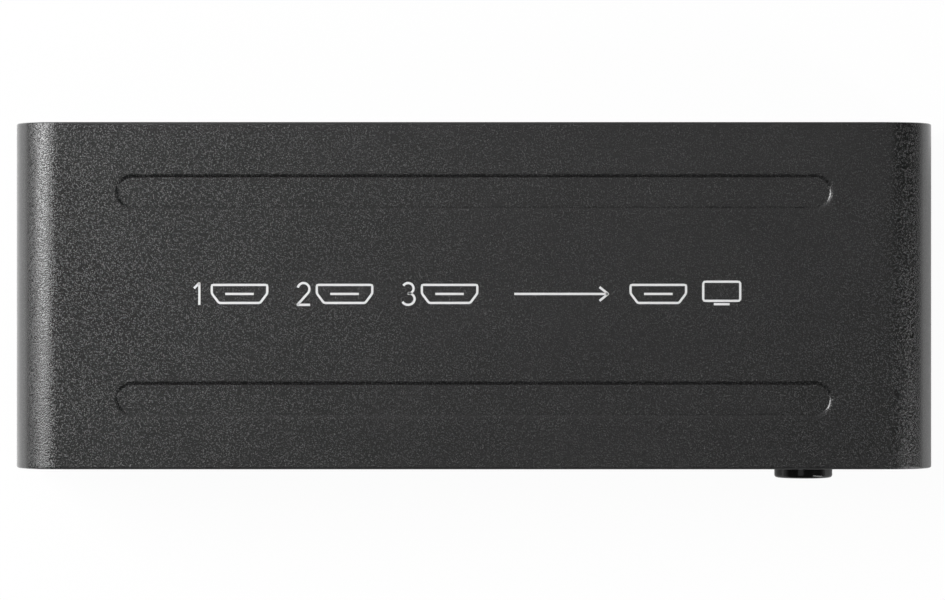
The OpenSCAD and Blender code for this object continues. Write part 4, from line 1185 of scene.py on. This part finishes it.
# %% Floor
floor_half = 3.0
floor_mesh = bpy.data.meshes.new("floor")
floor_mesh.from_pydata([(a * floor_half, b * floor_half, 0) for a, b in SQUARE * 2], [], [(0, 1, 2, 3)])
floor = bpy.data.objects.new("floor", floor_mesh)
bpy.context.scene.collection.objects.link(floor)
floor_white = bpy.data.materials.new("floor_white")
floor_white.use_nodes = True
floor_white.node_tree.nodes.clear()
ground = Shade(floor_white.node_tree)
camera_ray, glossy_ray, clear_ray = (
    ground.add("LightPath", {}, out=f"Is {ray} Ray") for ray in ("Camera", "Glossy", "Transmission"))
own_white, mirrored_white = 0.96, 0.12
shares = {
    0: (camera_ray * own_white).larger(glossy_ray.larger(clear_ray) * mirrored_white),
    1: ground.add("BsdfDiffuse", {"Color": grey(0.9)}),
    2: ground.add("Emission", {"Color": grey(1.0), "Strength": 1.0}),
}
ground.add("OutputMaterial", {"Surface": ground.add("MixShader", shares)})
floor_mesh.materials.append(floor_white)
print("floor", [round(side, 2) for side in floor.dimensions])


# %% Lamps and sky
def soft_box(name, place, size, power):
    """An oblong area lamp at a place in metres, facing the object."""
    lamp = bpy.data.lights.new(name, "AREA")
    lamp.shape = "RECTANGLE"
    lamp.size, lamp.size_y, lamp.energy = *size, power
    holder = bpy.data.objects.new(name, lamp)
    bpy.context.scene.collection.objects.link(holder)
    holder.location = place
    holder.rotation_euler = Vector(place).to_track_quat("Z", "Y").to_euler()
    print(name, power, "W at", place)


soft_box("key_left", (-0.46, 0.16, 0.40), (0.36, 0.32), 4.3)
soft_box("panel_rear", (-0.20, 0.34, 0.83), (0.9, 1.2), 1.75)
soft_box("fill_right", (0.41, -0.21, 0.235), (0.08, 0.38), 0.9)
sky = bpy.data.worlds.new("sky")
sky.use_nodes = True
bpy.context.scene.world = sky
sky_shade = Shade(sky.node_tree)
way = sky_shade.add("TexCoord", {}, out="Generated")
low_zone, horizon_zone, side_sector = (0.05, 0.45), (0.05, 0.25), (0.6, 0.95)
everywhere, low_level, low_left, low_right, horizon_right = 0.08, 0.08, 0.45, 0.1, 0.25
low, horizon = (1 - way.part("Z").over(*zone) for zone in (low_zone, horizon_zone))
left, right = (0 - way.part("X")).over(*side_sector), way.part("X").over(*side_sector)
level = low * (left * low_left + right * low_right + low_level) + horizon * right * horizon_right + everywhere
to_camera = sky_shade.add("LightPath", {}, out="Is Camera Ray")
sky_shade.fill(sky.node_tree.nodes["Background"], {"Color": grey(1.0), "Strength": level.larger(to_camera)})

# %% [markdown]
# ## Camera
# The photograph looks straight down from about 0.6 metres. The cover's width fills 913.8 of the
# image's 945 pixels at the height of its bends, which gives the focal length, and the cover's middle
# lies 1.5 pixels right of the image's middle and 4.25 above it, which gives the camera's place.

# %% Camera
image_w, cover_pixels, camera_height, off_right, off_up = 945, 913.8, 600.0, 1.5, 4.25
pixels_per_mm = cover_pixels / (2 * half_w)
focal_pixels = pixels_per_mm * (camera_height - cover_high[2] + bend_r)
camera_x, camera_y = -off_right / pixels_per_mm, cover_middle[1] - off_up / pixels_per_mm
camera_data = bpy.data.cameras.new("camera")
camera_data.sensor_width = 36.0
camera_data.lens = camera_data.sensor_width * focal_pixels / image_w
camera = bpy.data.objects.new("camera", camera_data)
camera.location = (camera_x * MM, camera_y * MM, camera_height * MM)
bpy.context.scene.collection.objects.link(camera)
bpy.context.scene.camera = camera
bpy.context.scene.view_settings.view_transform = "Standard"
print("lens", round(camera_data.lens, 1), "mm")
